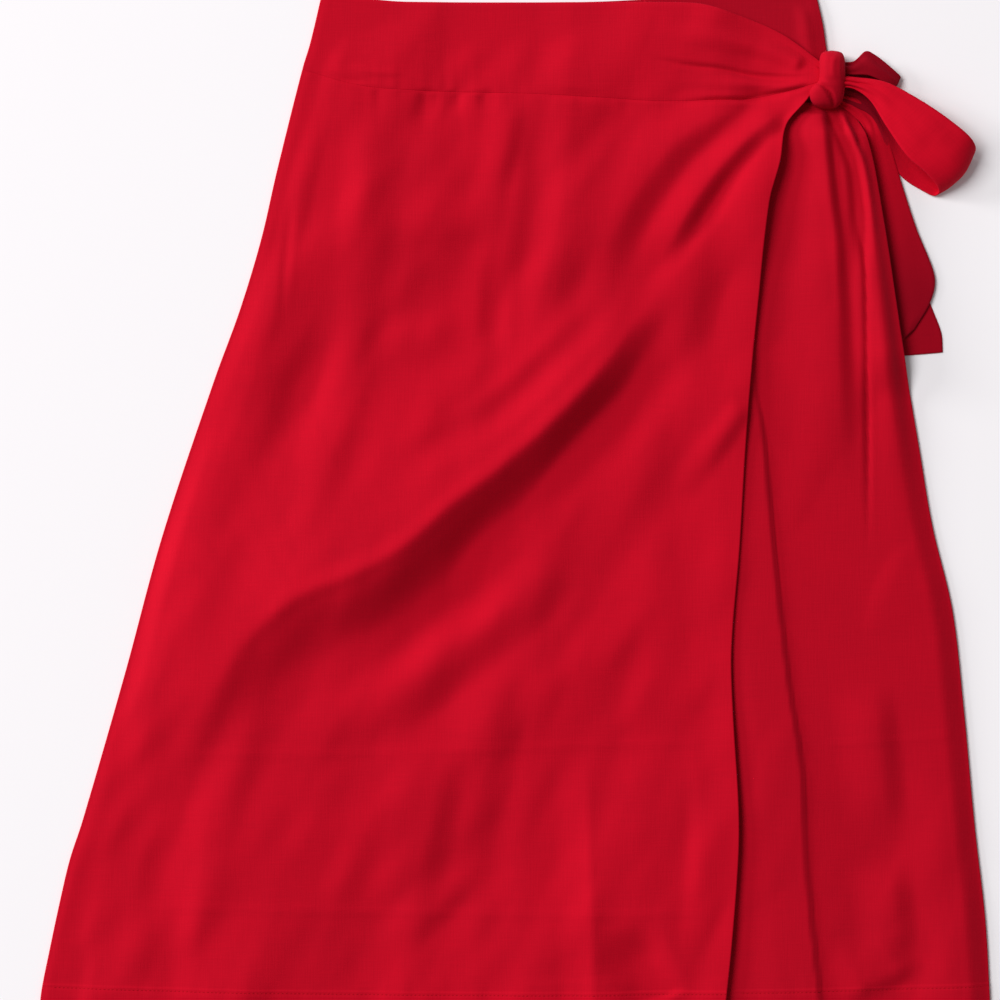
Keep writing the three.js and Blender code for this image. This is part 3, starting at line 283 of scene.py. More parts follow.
def smooth(start, end, value):
    share = np.clip((value - start) / (end - start), 0, 1)
    return share * share * (3 - 2 * share)


def line_through(rows):
    """A smooth line through pairs, straight beyond its ends."""
    xs, ys = np.array(rows, float).T
    order = np.arange(len(xs))
    before = np.maximum(order - 1, 0)
    after = np.minimum(order + 1, len(xs) - 1)
    slopes = (ys[after] - ys[before]) / (xs[after] - xs[before])

    def at(value):
        value = np.asarray(value, float)
        i = np.clip(np.searchsorted(xs, value, side="right") - 1, 0, len(xs) - 2)
        span = xs[i + 1] - xs[i]
        t = np.clip((value - xs[i]) / span, 0, 1)
        rise = t * t * (3 - 2 * t)
        line = ys[i] * (1 - rise) + ys[i + 1] * rise
        line = line + t * (1 - t) ** 2 * span * slopes[i] + t * t * (t - 1) * span * slopes[i + 1]
        before_start = np.minimum(value - xs[0], 0) * slopes[0]
        past_end = np.maximum(value - xs[-1], 0) * slopes[-1]
        return line + before_start + past_end

    return at


left_side = line_through(LEFT_SIDE)
right_side = line_through(RIGHT_SIDE)
free_edge = line_through(FREE_EDGE)
pleat_edge = line_through(PLEAT_EDGE)
hidden_edge = line_through(HIDDEN_EDGE)
free_edge_lift = line_through(FREE_EDGE_LIFT)
outer_waist = line_through(OUTER_WAIST)
inner_waist = line_through(INNER_WAIST)
outer_seam = line_through(OUTER_SEAM)
inner_seam = line_through(INNER_SEAM)


def hem(across):
    return HEM_DOWN - HEM_RISE * (across / HALF_HEM) ** 2


def spline(points, count):
    """Points along a smooth curve, the same number on each stretch of the given points."""
    points = np.array(points, float)
    before_first = 2 * points[0] - points[1]
    past_last = 2 * points[-1] - points[-2]
    padded = np.vstack([before_first, points, past_last])
    stretch = np.clip(np.linspace(0, len(points) - 1, count), 0, len(points) - 1 - TINY)
    curve = []
    for place in stretch:
        i = int(place)
        t = place - i
        a, b, c, d = padded[i:i + 4]
        ab, bc, cd = (max(np.linalg.norm(q - p), TINY) ** 0.5 for p, q in ((a, b), (b, c), (c, d)))
        leave = ((b - a) / ab - (c - a) / (ab + bc) + (c - b) / bc) * bc
        arrive = ((c - b) / bc - (d - b) / (bc + cd) + (d - c) / cd) * bc
        rise = t * t * (3 - 2 * t)
        curve.append(b * (1 - rise) + c * rise + t * (1 - t) ** 2 * leave + t * t * (t - 1) * arrive)
    return np.array(curve)


def lengths_along(curve):
    return np.concatenate([[0], np.cumsum(np.linalg.norm(np.diff(curve, axis=0), axis=1))])


def even_steps(curve, steps):
    lengths = lengths_along(curve)
    at = np.linspace(0, lengths[-1], steps + 1)
    return np.column_stack([np.interp(at, lengths, column) for column in curve.T])


# Folds

ROUTE_STEPS = 40
POINTS_A_STRETCH = 12


def fold_height(fold, across, down):
    """What one fold adds to the height at each place."""
    fold = dict(zip(FOLD_COLUMNS, fold))
    curve = spline(fold["route"], POINTS_A_STRETCH * len(fold["route"]))
    crest = even_steps(curve, ROUTE_STEPS)
    reach = max(fold["lit"], fold["shade"]) * max(fold["spread"], 1)
    low, high = crest.min(axis=0) - reach, crest.max(axis=0) + reach
    near = (across > low[0]) & (across < high[0]) & (down > low[1]) & (down < high[1])
    x, y = across[near], down[near]
    nearest = np.full(x.shape, np.inf)
    along = np.zeros(x.shape)
    on_right = np.zeros(x.shape, bool)
    for i in range(ROUTE_STEPS):
        run, fall = crest[i + 1] - crest[i]
        dx, dy = x - crest[i][0], y - crest[i][1]
        t = np.clip((dx * run + dy * fall) / (run * run + fall * fall), 0, 1)
        distance = np.hypot(dx - t * run, dy - t * fall)
        closer = distance < nearest
        nearest = np.where(closer, distance, nearest)
        along = np.where(closer, (i + t) / ROUTE_STEPS, along)
        on_right = np.where(closer, run * dy - fall * dx > 0, on_right)
    width = np.where(on_right, fold["lit"], fold["shade"]) * (1 + (fold["spread"] - 1) * along)
    share = np.clip(nearest / width, 0, 1)
    soft = (1 + np.cos(np.pi * share)) / 2
    steep = (1 - share) ** 2
    bump = soft * (1 - fold["sharp"]) + steep * fold["sharp"]
    shown = smooth(0, fold["starts"], along) * smooth(0, fold["fades"], 1 - along)
    height = np.zeros(across.shape)
    height[near] = fold["rise"] * bump * shown
    return height


def fold_field(folds, across, down):
    return sum(fold_height(fold, across, down) for fold in folds.values())


# Noise: smooth hills on a fixed lattice, between -1 and 1

LATTICE = 64
LATTICE_ACROSS = 31.3
LATTICE_DOWN = 17.7
# The crumple's hills: height, slant, and size across and down
CRUMPLES = [(3.0, 0.3, 44, 70), (0.9, 0.4, 19, 34), (0.05, 0, 6, 9)]
SEEDS = {
    "outer crumple": 5, "inner crumple": 15, "inner yoke crumple": 25, "hem": 31, "panel puckers": 41,
    "yoke puckers": 51, "front_loop": 61, "rear_loop": 62, "upper_tail": 63, "lower_tail": 64,
}


def hills(across, down, size_across, size_down, seed):
    table = np.random.default_rng(seed).uniform(-1, 1, (LATTICE, LATTICE))
    x, y = across / size_across + LATTICE_ACROSS, down / size_down + LATTICE_DOWN
    i, j = np.floor(x).astype(int), np.floor(y).astype(int)
    s, t = smooth(0, 1, x - i), smooth(0, 1, y - j)

    def corner(right, below):
        return table[(i + right) % LATTICE, (j + below) % LATTICE]

    upper = corner(0, 0) * (1 - s) + corner(1, 0) * s
    lower = corner(0, 1) * (1 - s) + corner(1, 1) * s
    return upper * (1 - t) + lower * t


def crumple(across, down, seed):
    """The low, uneven creasing of washed linen."""
    total = 0
    for i, (height, slant, size_across, size_down) in enumerate(CRUMPLES):
        total = total + height * hills(across + slant * down, down, size_across, size_down, seed + i)
    return total


# Heights of the layers: the lower face of each, above the floor

def above_floor(height):
    """The height where it is above zero, and softly towards zero below that."""
    return (height + np.sqrt(height ** 2 + SOFT_FLOOR ** 2)) / 2


def in_tail_zone(down):
    rising = smooth(TAIL_ZONE["from"], TAIL_ZONE["full"], down)
    return rising * (1 - smooth(TAIL_ZONE["ease"], TAIL_ZONE["to"], down))


def inner_under(across, down):
    from_pleat = pleat_edge(down) - across
    pleat = PLEAT_RAISE * smooth(-PLEAT_TURN / 2, PLEAT_TURN / 2, from_pleat)
    pleat = pleat * (1 - smooth(PLEAT_FLAT, PLEAT_FLAT + PLEAT_FALL, from_pleat))
    pleat = pleat * smooth(PLEAT_FROM, PLEAT_FULL, down)
    from_side = right_side(down) - across
    roll = np.maximum(smooth(*INNER_ROLL_IN, from_side), ROLL_BY_TAILS * in_tail_zone(down))
    clear = TAIL_CLEARANCE * in_tail_zone(down) * (1 - smooth(*CLEARANCE_EASE, from_side))
    shown = smooth(*SHOWN_ACROSS, across - hidden_edge(down)) * smooth(*SHOWN_DOWN, down)
    billow = INNER_BILLOW * smooth(0, INNER_ROLL, from_side) * shown
    folds = fold_field(INNER_FOLDS, across, down) + fold_field(INNER_CREASES, across, down)
    return LAYER + pleat + above_floor(billow + folds * roll) + clear


def top_below_outer(across, down):
    covered = smooth(*CLIMB, across - hidden_edge(down))
    from_turn = hem(across) - down - HEM_TURN
    hem_turn = HEM_TURN_RAISE * smooth(HIDDEN_HEM_STEP, -HIDDEN_HEM_STEP, from_turn)
    return WALL + covered * (inner_under(across, down) + hem_turn)


def outer_under(across, down):
    samples = ((0, 0), (BRIDGED, 0), (-BRIDGED, 0), (0, BRIDGED), (0, -BRIDGED))
    below = np.maximum.reduce([top_below_outer(across + dx, down + dy) for dx, dy in samples])
    from_edge = free_edge(down) - across
    lift = free_edge_lift(down) * (1 - smooth(0, LIFT_REACH, from_edge)) * smooth(*LIFT_DOWN, down)
    roll = smooth(0, OUTER_ROLL, across - left_side(down))
    to_knot = np.hypot(
        (across - KNOT_DRAW["across"]) / KNOT_DRAW["reach_across"],
        (down - KNOT_DRAW["down"]) / KNOT_DRAW["reach_down"],
    )
    draw = KNOT_DRAW["rise"] * np.exp(-to_knot ** 2)
    billow = BILLOW * smooth(0, BILLOW_REACH, across - left_side(down)) * smooth(*BILLOW_DOWN, down)
    billow = billow * smooth(0, BILLOW_EDGE, from_edge)
    folds = fold_field(OUTER_FOLDS, across, down) + crumple(across, down, SEEDS["outer crumple"])
    return below + GAP + lift + draw + above_floor(billow + roll * folds)


# Meshes

def to_frame(points):
    """Millimetres on the garment to metres in the part's frame."""
    points = np.asarray(points, float)
    frame_points = np.empty(points.shape)
    frame_points[..., 0] = (points[..., 0] - ORIGIN_ACROSS) * MM
    frame_points[..., 1] = (ORIGIN_DOWN - points[..., 1]) * MM
    frame_points[..., 2] = points[..., 2] * MM
    return frame_points


# The step past the last of the closer lines, and a length greater than any panel's
FIRST_STEP = 2
LONGEST = 1000


def lines(count, from_start, from_end):
    """Even lines between a start and an end, with closer ones at given distances from either:
    each as a share of the way and a distance added to it."""
    first = from_start[-1] + FIRST_STEP
    last = from_end[-1] + FIRST_STEP
    even = np.linspace(0, 1, count + 1)
    shares = np.concatenate([np.zeros(len(from_start)), even, np.ones(len(from_end))])
    added = np.concatenate([from_start, first * (1 - even) - last * even, -np.array(from_end)])
    order = np.argsort(shares * LONGEST + added)
    return shares[order], added[order]


MEETING_STEPS = 30


def grid_between(top, bottom, left, right, columns, rows):
    """Places in rows between an upper and a lower line and two sides."""
    shares, added = (part[:, None] for part in rows)

    def down_at(across):
        return top(across) + (bottom(across) - top(across)) * shares + added

    def meet(side):
        across = side(down_at(np.zeros((len(shares), 1))))
        for _ in range(MEETING_STEPS):
            across = (across + side(down_at(across))) / 2
        return across

    start, end = meet(left), meet(right)
    across = start + (end - start) * columns[0][None, :] + columns[1][None, :]
    return across, down_at(across)


def normals_of(middle):
    along = np.gradient(middle, axis=0)
    over = np.gradient(middle, axis=1)
    normal = np.cross(along, over)
    return normal / np.maximum(np.linalg.norm(normal, axis=2, keepdims=True), TINY)


def object_from(name, vertices, faces, cloth, material):
    mesh = bpy.data.meshes.new(name)
    mesh.from_pydata([tuple(v) for v in vertices], [], faces)
    mesh.update()
    place = mesh.attributes.new("cloth", "FLOAT_VECTOR", "POINT")
    place.data.foreach_set("vector", np.asarray(cloth, np.float32).ravel())
    mesh.materials.append(material)
    mesh.shade_smooth()
    piece = bpy.data.objects.new(name, mesh)
    add_to_scene(piece)
    return piece


# How far in a rim's middle lies, as a share of the skin
RIM_INSET = 0.4


def shell(name, middle, cloth, material, skin=SKIN):
    """A closed skin of cloth round a grid of millimetre points, with a rounded edge all round."""
    rows, columns = middle.shape[:2]
    points = to_frame(middle)
    normal = normals_of(points)
    if normal[..., 2].mean() < 0:
        normal = -normal
    upper = points + normal * skin * MM / 2
    lower = points - normal * skin * MM / 2
    count = rows * columns
    index = np.arange(count).reshape(rows, columns)
    ring = np.concatenate([index[0, :-1], index[:-1, -1], index[-1, :0:-1], index[:0:-1, 0]])
    inward = np.zeros(points.shape)
    inward[0] += points[1] - points[0]
    inward[-1] += points[-2] - points[-1]
    inward[:, 0] += points[:, 1] - points[:, 0]
    inward[:, -1] += points[:, -2] - points[:, -1]
    flat_inward = inward.reshape(-1, 3)[ring]
    flat_inward /= np.maximum(np.linalg.norm(flat_inward, axis=1, keepdims=True), TINY)
    rim = points.reshape(-1, 3)[ring] - flat_inward * skin * MM * RIM_INSET
    vertices = np.vstack([upper.reshape(-1, 3), lower.reshape(-1, 3), rim])
    corners = [index[:-1, :-1], index[1:, :-1], index[1:, 1:], index[:-1, 1:]]
    quads = np.stack(corners, axis=-1).reshape(-1, 4)
    faces = np.vstack([quads, quads[:, ::-1] + count]).tolist()
    for i in range(len(ring)):
        j = (i + 1) % len(ring)
        a, b = int(ring[i]), int(ring[j])
        ra, rb = 2 * count + i, 2 * count + j
        faces.append((a, b, rb, ra))
        faces.append((ra, rb, b + count, a + count))
    cloth = cloth.reshape(-1, 3)
    piece = object_from(name, vertices, faces, np.vstack([cloth, cloth, cloth[ring]]), material)
    turn_outwards(piece)
    return piece


def turn_outwards(piece):
    """Turns the faces of a closed mesh outwards, by the sign of its volume."""
    mesh = piece.data
    mesh.calc_loop_triangles()
    corners = np.empty(len(mesh.vertices) * 3)
    mesh.vertices.foreach_get("co", corners)
    corners = corners.reshape(-1, 3)
    triangles = np.empty(len(mesh.loop_triangles) * 3, int)
    mesh.loop_triangles.foreach_get("vertices", triangles)
    a, b, c = (corners[triangles.reshape(-1, 3)[:, k]] for k in range(3))
    if np.einsum("ij,ij->i", a, np.cross(b, c)).sum() < 0:
        mesh.flip_normals()


def ring_faces(first, rings, sides):
    """Faces between rings of points that follow each other."""
    faces = []
    for ring in range(rings - 1):
        for k in range(sides):
            a, b = first + ring * sides + k, first + ring * sides + (k + 1) % sides
            faces.append((a, b, b + sides, a + sides))
    return faces


# Materials

WEAVE_PITCH = 0.9
# Slubs run along both ways of the threads: their noise across and along, and its detail
SLUB_ACROSS = 0.8
SLUB_ALONG = 0.045
SLUB_DETAIL = 3
CLOUD_SCALE = 0.011
CLOUD_DETAIL = 2
NOISE_ROUGHNESS = 0.6
# The weave's relief beside the slubs', and the bump's strength and its depth in metres
WEAVE_RELIEF = 0.1
BUMP_STRENGTH = 0.28
BUMP_DEPTH = 0.0003
# Tone: shares of slubs and clouds, the darkest and lightest cloth, and the painted shade standing in for
# the shade within a fold
SLUB_TONE = 0.4
SLUB_TONE_FROM = -0.15
CLOUD_TONE = 0.5
DARKEST = 0.86
LIGHTEST = 1.14
PAINTED_SHADE_TONE = 0.38
LINEN_FINISH = {
    "Roughness": 0.88, "Specular IOR Level": 0.22, "Specular Tint": (1.0, 0.4, 0.95, 1),
    "Sheen Weight": 0.012, "Sheen Roughness": 0.6, "Sheen Tint": (1.0, 0.15, 0.7, 1),
}
THREAD_TWIST = 0.9
THREAD_DARK = (0.38, 0.001, 0.007, 1)
THREAD_LIGHT = (0.52, 0.002, 0.012, 1)
THREAD_FINISH = {"Roughness": 0.7, "Specular IOR Level": 0.1}


def node(tree, kind, **settings):
    made = tree.nodes.new(kind)
    for key, value in settings.items():
        setattr(made, key, value)
    return made


def new_material(name, finish):
    material = bpy.data.materials.new(name)
    material.use_nodes = True
    shader = material.node_tree.nodes["Principled BSDF"]
    for socket, value in finish.items():
        shader.inputs[socket].default_value = value
    return material, material.node_tree, shader


def toned(colour, tone):
    return (*(part * tone for part in colour), 1)


def linen(name, colour):
    """Plain-weave linen: threads and slubs in relief and tone, laid out by the cloth's millimetres, and
    painted shade where the cloth attribute's third number is above zero.
    """
    material, tree, shader = new_material(name, LINEN_FINISH)
    link = tree.links.new
    place = node(tree, "ShaderNodeAttribute", attribute_name="cloth")
    parts = node(tree, "ShaderNodeSeparateXYZ")
    link(place.outputs["Vector"], parts.inputs["Vector"])

    def maths(operation, *values):
        made = node(tree, "ShaderNodeMath", operation=operation)
        for socket, value in zip(made.inputs, values):
            if isinstance(value, (int, float)):
                socket.default_value = value
            else:
                link(value, socket)
        return made.outputs["Value"]

    def scaled(x, y):
        mapping = node(tree, "ShaderNodeMapping")
        mapping.inputs["Scale"].default_value = (x, y, 1)
        link(place.outputs["Vector"], mapping.inputs["Vector"])
        return mapping.outputs["Vector"]

    def noise(x, y, detail):
        made = node(tree, "ShaderNodeTexNoise", noise_dimensions="2D")
        made.inputs["Scale"].default_value = 1
        made.inputs["Detail"].default_value = detail
        made.inputs["Roughness"].default_value = NOISE_ROUGHNESS
        link(scaled(x, y), made.inputs["Vector"])
        return made.outputs["Fac"]

    def threads(axis):
        turn = maths("MULTIPLY", parts.outputs[axis], 2 * math.pi / WEAVE_PITCH)
        return maths("SINE", turn)

    upright = noise(SLUB_ACROSS, SLUB_ALONG, SLUB_DETAIL)
    level = noise(SLUB_ALONG, SLUB_ACROSS, SLUB_DETAIL)
    slubs = maths("ADD", upright, level)
    weave = maths("MULTIPLY", threads("X"), threads("Y"))
    relief = maths("ADD", maths("MULTIPLY", weave, WEAVE_RELIEF), slubs)
    bump = node(tree, "ShaderNodeBump")
    bump.inputs["Strength"].default_value = BUMP_STRENGTH
    bump.inputs["Distance"].default_value = BUMP_DEPTH
    link(relief, bump.inputs["Height"])
    link(bump.outputs["Normal"], shader.inputs["Normal"])

    clouds = noise(CLOUD_SCALE, CLOUD_SCALE, CLOUD_DETAIL)
    fine_tone = maths("MULTIPLY_ADD", slubs, SLUB_TONE, SLUB_TONE_FROM)
    tone = maths("MULTIPLY_ADD", clouds, CLOUD_TONE, fine_tone)
    mix = node(tree, "ShaderNodeMix", data_type="RGBA")
    mix.inputs["A"].default_value = toned(colour, DARKEST)
    mix.inputs["B"].default_value = toned(colour, LIGHTEST)
    link(tone, mix.inputs["Factor"])
    # Painted shade: the colour darkens towards the painted-shade tone as the cloth attribute's third
    # number goes to one.
    painted_shade = node(tree, "ShaderNodeMix", data_type="RGBA")
    painted_shade.inputs["B"].default_value = toned(colour, PAINTED_SHADE_TONE)
    link(parts.outputs["Z"], painted_shade.inputs["Factor"])
    link(mix.outputs["Result"], painted_shade.inputs["A"])
    link(painted_shade.outputs["Result"], shader.inputs["Base Color"])
    return material


def thread_material():
    material, tree, shader = new_material("sewing_thread", THREAD_FINISH)
    place = node(tree, "ShaderNodeAttribute", attribute_name="cloth")
    twist = node(tree, "ShaderNodeTexWave", bands_direction="DIAGONAL")
    twist.inputs["Scale"].default_value = THREAD_TWIST
    ramp = node(tree, "ShaderNodeMix", data_type="RGBA")
    ramp.inputs["A"].default_value = THREAD_DARK
    ramp.inputs["B"].default_value = THREAD_LIGHT
    tree.links.new(place.outputs["Vector"], twist.inputs["Vector"])
    tree.links.new(twist.outputs["Fac"], ramp.inputs["Factor"])
    tree.links.new(ramp.outputs["Result"], shader.inputs["Base Color"])
    return material


# One red linen for the whole garment. The other copies are painted light and shade: the inner wrap, the
# inner yoke and back, and the knot are painted darker than the skirt's cloth.
skirt_linen = linen("red_linen", (0.510, 0.0008, 0.0090))
under_linen_painted_shade = linen("red_linen_under_painted_shade", (0.468, 0.0008, 0.0083))
inner_linen_painted_shade = linen("red_linen_shaded", (0.386, 0.0006, 0.0066))
knot_linen_painted_shade = linen("red_linen_knot_painted_shade", (0.455, 0.0008, 0.0080))
# Painted light: the front loop and upper tail are painted lighter than the skirt's cloth.
tie_linen_painted_light = linen("red_linen_tie_painted_light", (0.570, 0.0009, 0.0100))
# Painted shade: the rear loop and lower tail are painted darker than the tie's cloth.
tie_linen_painted_shade = linen("red_linen_tie_painted_shade", (0.342, 0.0006, 0.0058))
thread = thread_material()


# Surfaces: the middle of each layer, with its seams, hems and gathers

SEAM_SINK = 0.24
SEAM_REACH = 1.4
SIDE_DROP = 0.55
SIDE_REACH = 6
# Puckers below a seam: sizes of the fine and broad ones, how far they run, and their strength, which is
# greatest in one stretch of the seam
PUCKERS = {
    "fine": 5.6, "broad": 9.5, "broad share": 0.6, "run": 10, "varies": 9, "varies over": 14,
    "strength": 0.34, "extra": 0.5, "strongest at": -46, "strongest over": 36, "from": 2.5,
}
YOKE_PUCKERS = 0.6
# The hem: how softly its turned edge steps, its row of stitches, and the ripple beside it
HEM_STEP = 0.8
HEM_ROW = 2
HEM_GROOVE = {"depth": 0.3, "width": 0.9}
HEM_RIPPLE = {"height": 0.22, "across": 7, "down": 14, "reach": 12}
# The waist's facing: how far its edge sinks and over what, and the row sewn below it
WAIST_EDGE = {"depth": 0.4, "reach": 2.5}
WAIST_ROW = {"depth": 0.12, "at": 6, "width": 0.8}
# Crumple left on the inner layers, and the fold that stands along the inner yoke's side
INNER_CRUMPLE = 0.5
INNER_CRUMPLE_REACH = 16
INNER_YOKE_CRUMPLE = 0.3
STANDING_FOLD = {"height": 1.6, "at": 13, "width": 5, "below waist": 14}
YOKE_END = 243


def hump(place, middle, width):
    """One at its middle, falling softly to nothing on both sides."""
    return np.exp(-(((place - middle) / width) ** 2))


def side_drop(from_side):
    return SIDE_DROP * (1 - smooth(0, SIDE_REACH, from_side))


def beside_seam(from_seam):
    """The dip of cloth where it is sewn to its neighbour."""
    return -SEAM_SINK * hump(from_seam, 0, SEAM_REACH)


def gathers(across, from_seam, seed):
    """Short, uneven puckers that run from the seam into the panel."""
    level = 0 * across
    fine = hills(across, level, PUCKERS["fine"], 1, seed)
    waves = fine + PUCKERS["broad share"] * hills(across, level, PUCKERS["broad"], 1, seed + 1)
    uneven = hills(across, level, PUCKERS["varies over"], 1, seed + 2)
    reach = PUCKERS["run"] + PUCKERS["varies"] * uneven
    extra = PUCKERS["extra"] * hump(across, PUCKERS["strongest at"], PUCKERS["strongest over"])
    strength = PUCKERS["strength"] + extra
    return strength * waves * np.exp(-from_seam / reach) * smooth(0, PUCKERS["from"], from_seam)


def turned_hem(across, down):
    from_hem = hem(across) - down
    turned = HEM_TURN_RAISE * smooth(HEM_TURN + HEM_STEP, HEM_TURN - HEM_STEP, from_hem)
    stitched = -HEM_GROOVE["depth"] * hump(from_hem, HEM_TURN - HEM_ROW, HEM_GROOVE["width"])
    waves = hills(across, from_hem, HEM_RIPPLE["across"], HEM_RIPPLE["down"], SEEDS["hem"])
    ripple = HEM_RIPPLE["height"] * waves * hump(from_hem, HEM_TURN, HEM_RIPPLE["reach"])
    return turned + stitched + ripple


def outer_panel_middle(across, down):
    from_seam = down - outer_seam(across) - GAP
    sewn = beside_seam(from_seam) + gathers(across, from_seam, SEEDS["panel puckers"])
    height = outer_under(across, down) + WALL / 2 + sewn + turned_hem(across, down)
    return height - side_drop(across - left_side(down))


def outer_yoke_middle(across, down):
    from_seam = outer_seam(across) - down
    from_waist = down - outer_waist(across)
    edge = -WAIST_EDGE["depth"] * (1 - smooth(0, WAIST_EDGE["reach"], from_waist))
    facing = edge - WAIST_ROW["depth"] * hump(from_waist, WAIST_ROW["at"], WAIST_ROW["width"])
    sewn = beside_seam(from_seam) + YOKE_PUCKERS * gathers(across, from_seam, SEEDS["yoke puckers"])
    height = outer_under(across, down) + WALL / 2 + sewn + facing
    return height - side_drop(across - left_side(down))


def inner_panel_middle(across, down):
    from_seam = down - inner_seam(across) - GAP
    from_side = right_side(down) - across
    raised = np.maximum(0, crumple(across, down, SEEDS["inner crumple"]))
    creased = INNER_CRUMPLE * raised * smooth(0, INNER_CRUMPLE_REACH, from_side)
    height = inner_under(across, down) + WALL / 2 + beside_seam(from_seam) + turned_hem(across, down)
    return height + creased - (1 - in_tail_zone(down)) * side_drop(from_side)


def inner_yoke_middle(across, down):
    from_seam = inner_seam(across) - down
    from_side = right_side(down) - across
    soft = INNER_YOKE_CRUMPLE * np.maximum(0, crumple(across, down, SEEDS["inner yoke crumple"]))
    standing = STANDING_FOLD["height"] * hump(from_side, STANDING_FOLD["at"], STANDING_FOLD["width"])
    standing = standing * smooth(0, STANDING_FOLD["below waist"], down)
    return LAYER + WALL / 2 + beside_seam(from_seam) + soft + standing - side_drop(from_side)


def back_middle(across, down):
    return WALL / 2 + 0 * across


def back_right(down):
    return right_side(down) - BACK_TUCK * in_tail_zone(down)


def panel(name, top, bottom, left, right, middle, columns, rows, material):
    across, down = grid_between(top, bottom, left, right, columns, rows)
    height = middle(across, down)
    points = np.stack([across, down, height], axis=-1)
    cloth = np.stack([across, down, 0 * across], axis=-1)
    return shell(name, points, cloth, material)


# Distances of the closer grid lines from an edge, a seam and a hem
EDGE = (0, 0.7, 1.6, 2.8, 4.4)
SEAM = (0, 0.5, 1.0, 1.6, 2.4, 3.6, 5.2)
HEM = (0, 1.5, 4, 8, 12, 16, 17.6, 18.6, 19.4, 20.2, 21, 21.8, 22.6, 24)


def below_outer_seam(across):
    return outer_seam(across) + GAP


def below_inner_seam(across):
    return inner_seam(across) + GAP


def yoke_end(down):
    return YOKE_END + 0 * down


outer_front_panel = panel(
    "outer_front_cloth", below_outer_seam, hem, left_side, free_edge, outer_panel_middle,
    columns=lines(160, EDGE, EDGE), rows=lines(218, SEAM, HEM), material=skirt_linen)
outer_front_yoke = panel(
    "outer_yoke_cloth", outer_waist, outer_seam, left_side, yoke_end, outer_yoke_middle,
    columns=lines(190, EDGE, EDGE), rows=lines(40, EDGE, SEAM), material=skirt_linen)
inner_front_panel = panel(
    "inner_front_cloth", below_inner_seam, hem, hidden_edge, right_side, inner_panel_middle,
    columns=lines(110, EDGE, EDGE), rows=lines(218, SEAM, HEM), material=under_linen_painted_shade)
inner_front_yoke = panel(
    "inner_yoke_cloth", inner_waist, inner_seam, hidden_edge, right_side, inner_yoke_middle,
    columns=lines(60, EDGE, EDGE), rows=lines(34, EDGE, SEAM), material=inner_linen_painted_shade)
back_panel = panel(
    "back_cloth", below_inner_seam, hem, left_side, back_right, back_middle,
    columns=lines(70, EDGE, EDGE), rows=lines(110, EDGE, EDGE), material=inner_linen_painted_shade)
back_yoke = panel(
    "back_yoke_cloth", inner_waist, inner_seam, left_side, back_right, back_middle,
    columns=lines(60, EDGE, EDGE), rows=lines(12, EDGE, EDGE), material=inner_linen_painted_shade)


# Stitches

STITCH_PITCH = 3.1
STITCH_LENGTH = 2.3
STITCH_RADIUS = 0.2
STITCH_SIDES = 6
# Rings of a stitch: share along its length, thickness as a share of the radius, and height
STITCH_RINGS = [
    (-0.5, 0.5, -0.16), (-0.3, 1.0, 0.06), (0.0, 1.0, 0.14), (0.3, 1.0, 0.06), (0.5, 0.5, -0.16),
]
# How far the stitches stand off the cloth, and where the two rows start and end
STITCH_LIFT = 0.04
PATH_POINTS = 400
OUTER_ROW = (-334, 168)
INNER_ROW = (182, 360)


def stitches(name, path):
    """A row of short threads along a line of millimetre points."""
    path = to_frame(path)
    centres = even_steps(path, int(lengths_along(path)[-1] / (STITCH_PITCH * MM)))
    ahead = np.gradient(centres, axis=0)
    ahead /= np.linalg.norm(ahead, axis=1, keepdims=True)
    vertices, faces, cloth = [], [], []
    for centre, forward in zip(centres, ahead):
        sideways = np.cross(forward, (0, 0, 1))
        first = len(vertices)
        for share, thick, height in STITCH_RINGS:
            middle = centre + forward * share * STITCH_LENGTH * MM + np.array([0, 0, height * MM])
            for k in range(STITCH_SIDES):
                turn = 2 * math.pi * k / STITCH_SIDES
                across = sideways * math.cos(turn) + np.array([0, 0, 1]) * math.sin(turn)
                vertices.append(middle + across * STITCH_RADIUS * thick * MM)
                cloth.append((share * STITCH_LENGTH, turn, 0))
        faces += ring_faces(first, len(STITCH_RINGS), STITCH_SIDES)
        last = first + (len(STITCH_RINGS) - 1) * STITCH_SIDES
        faces.append(tuple(first + k for k in reversed(range(STITCH_SIDES))))
        faces.append(tuple(last + k for k in range(STITCH_SIDES)))
    piece = object_from(name, vertices, faces, cloth, thread)
    turn_outwards(piece)
    return piece


def hem_path(middle, start, end):
    across = np.linspace(start, end, PATH_POINTS)
    down = hem(across) - HEM_TURN + HEM_ROW
    height = middle(across, down) + SKIN / 2 + STITCH_LIFT
    return np.stack([across, down, height], axis=-1)


outer_hem_stitches = stitches("outer_hem_stitches", hem_path(outer_panel_middle, *OUTER_ROW))
inner_hem_stitches = stitches("inner_hem_stitches", hem_path(inner_panel_middle, *INNER_ROW))


# The tie

KNOT_RINGS = 46
KNOT_SIDES = 64
# How square the knot's sections are: 1 is round
KNOT_SQUARE = 0.8
# Creases and rolls on the knot's face, in the same columns as the folds
KNOT_FOLDS = {
    "lower wrap crease": ([(230, 61.5), (237, 63.5), (243, 67.5), (247, 73), (250, 82)],
        -3.4, 2.4, 3, 1, 0.02, 0.1, 0.2),
    "left band edge": ([(243, 40), (240, 48), (240, 58), (242, 67)], -0.9, 1.6, 1.8, 1, 0.3, 0.3, 0),
    "band fold": ([(250, 41), (248, 52), (249, 64)], 0.7, 3.0, 3.4, 1, 0.3, 0.4, 0),
    "right band fold": ([(255, 44), (255, 54), (256, 64)], -0.6, 1.6, 1.4, 1, 0.3, 0.4, 0),
}


def squared(value):
    """A sine or cosine made squarer."""
    return np.sign(value) * np.abs(value) ** KNOT_SQUARE


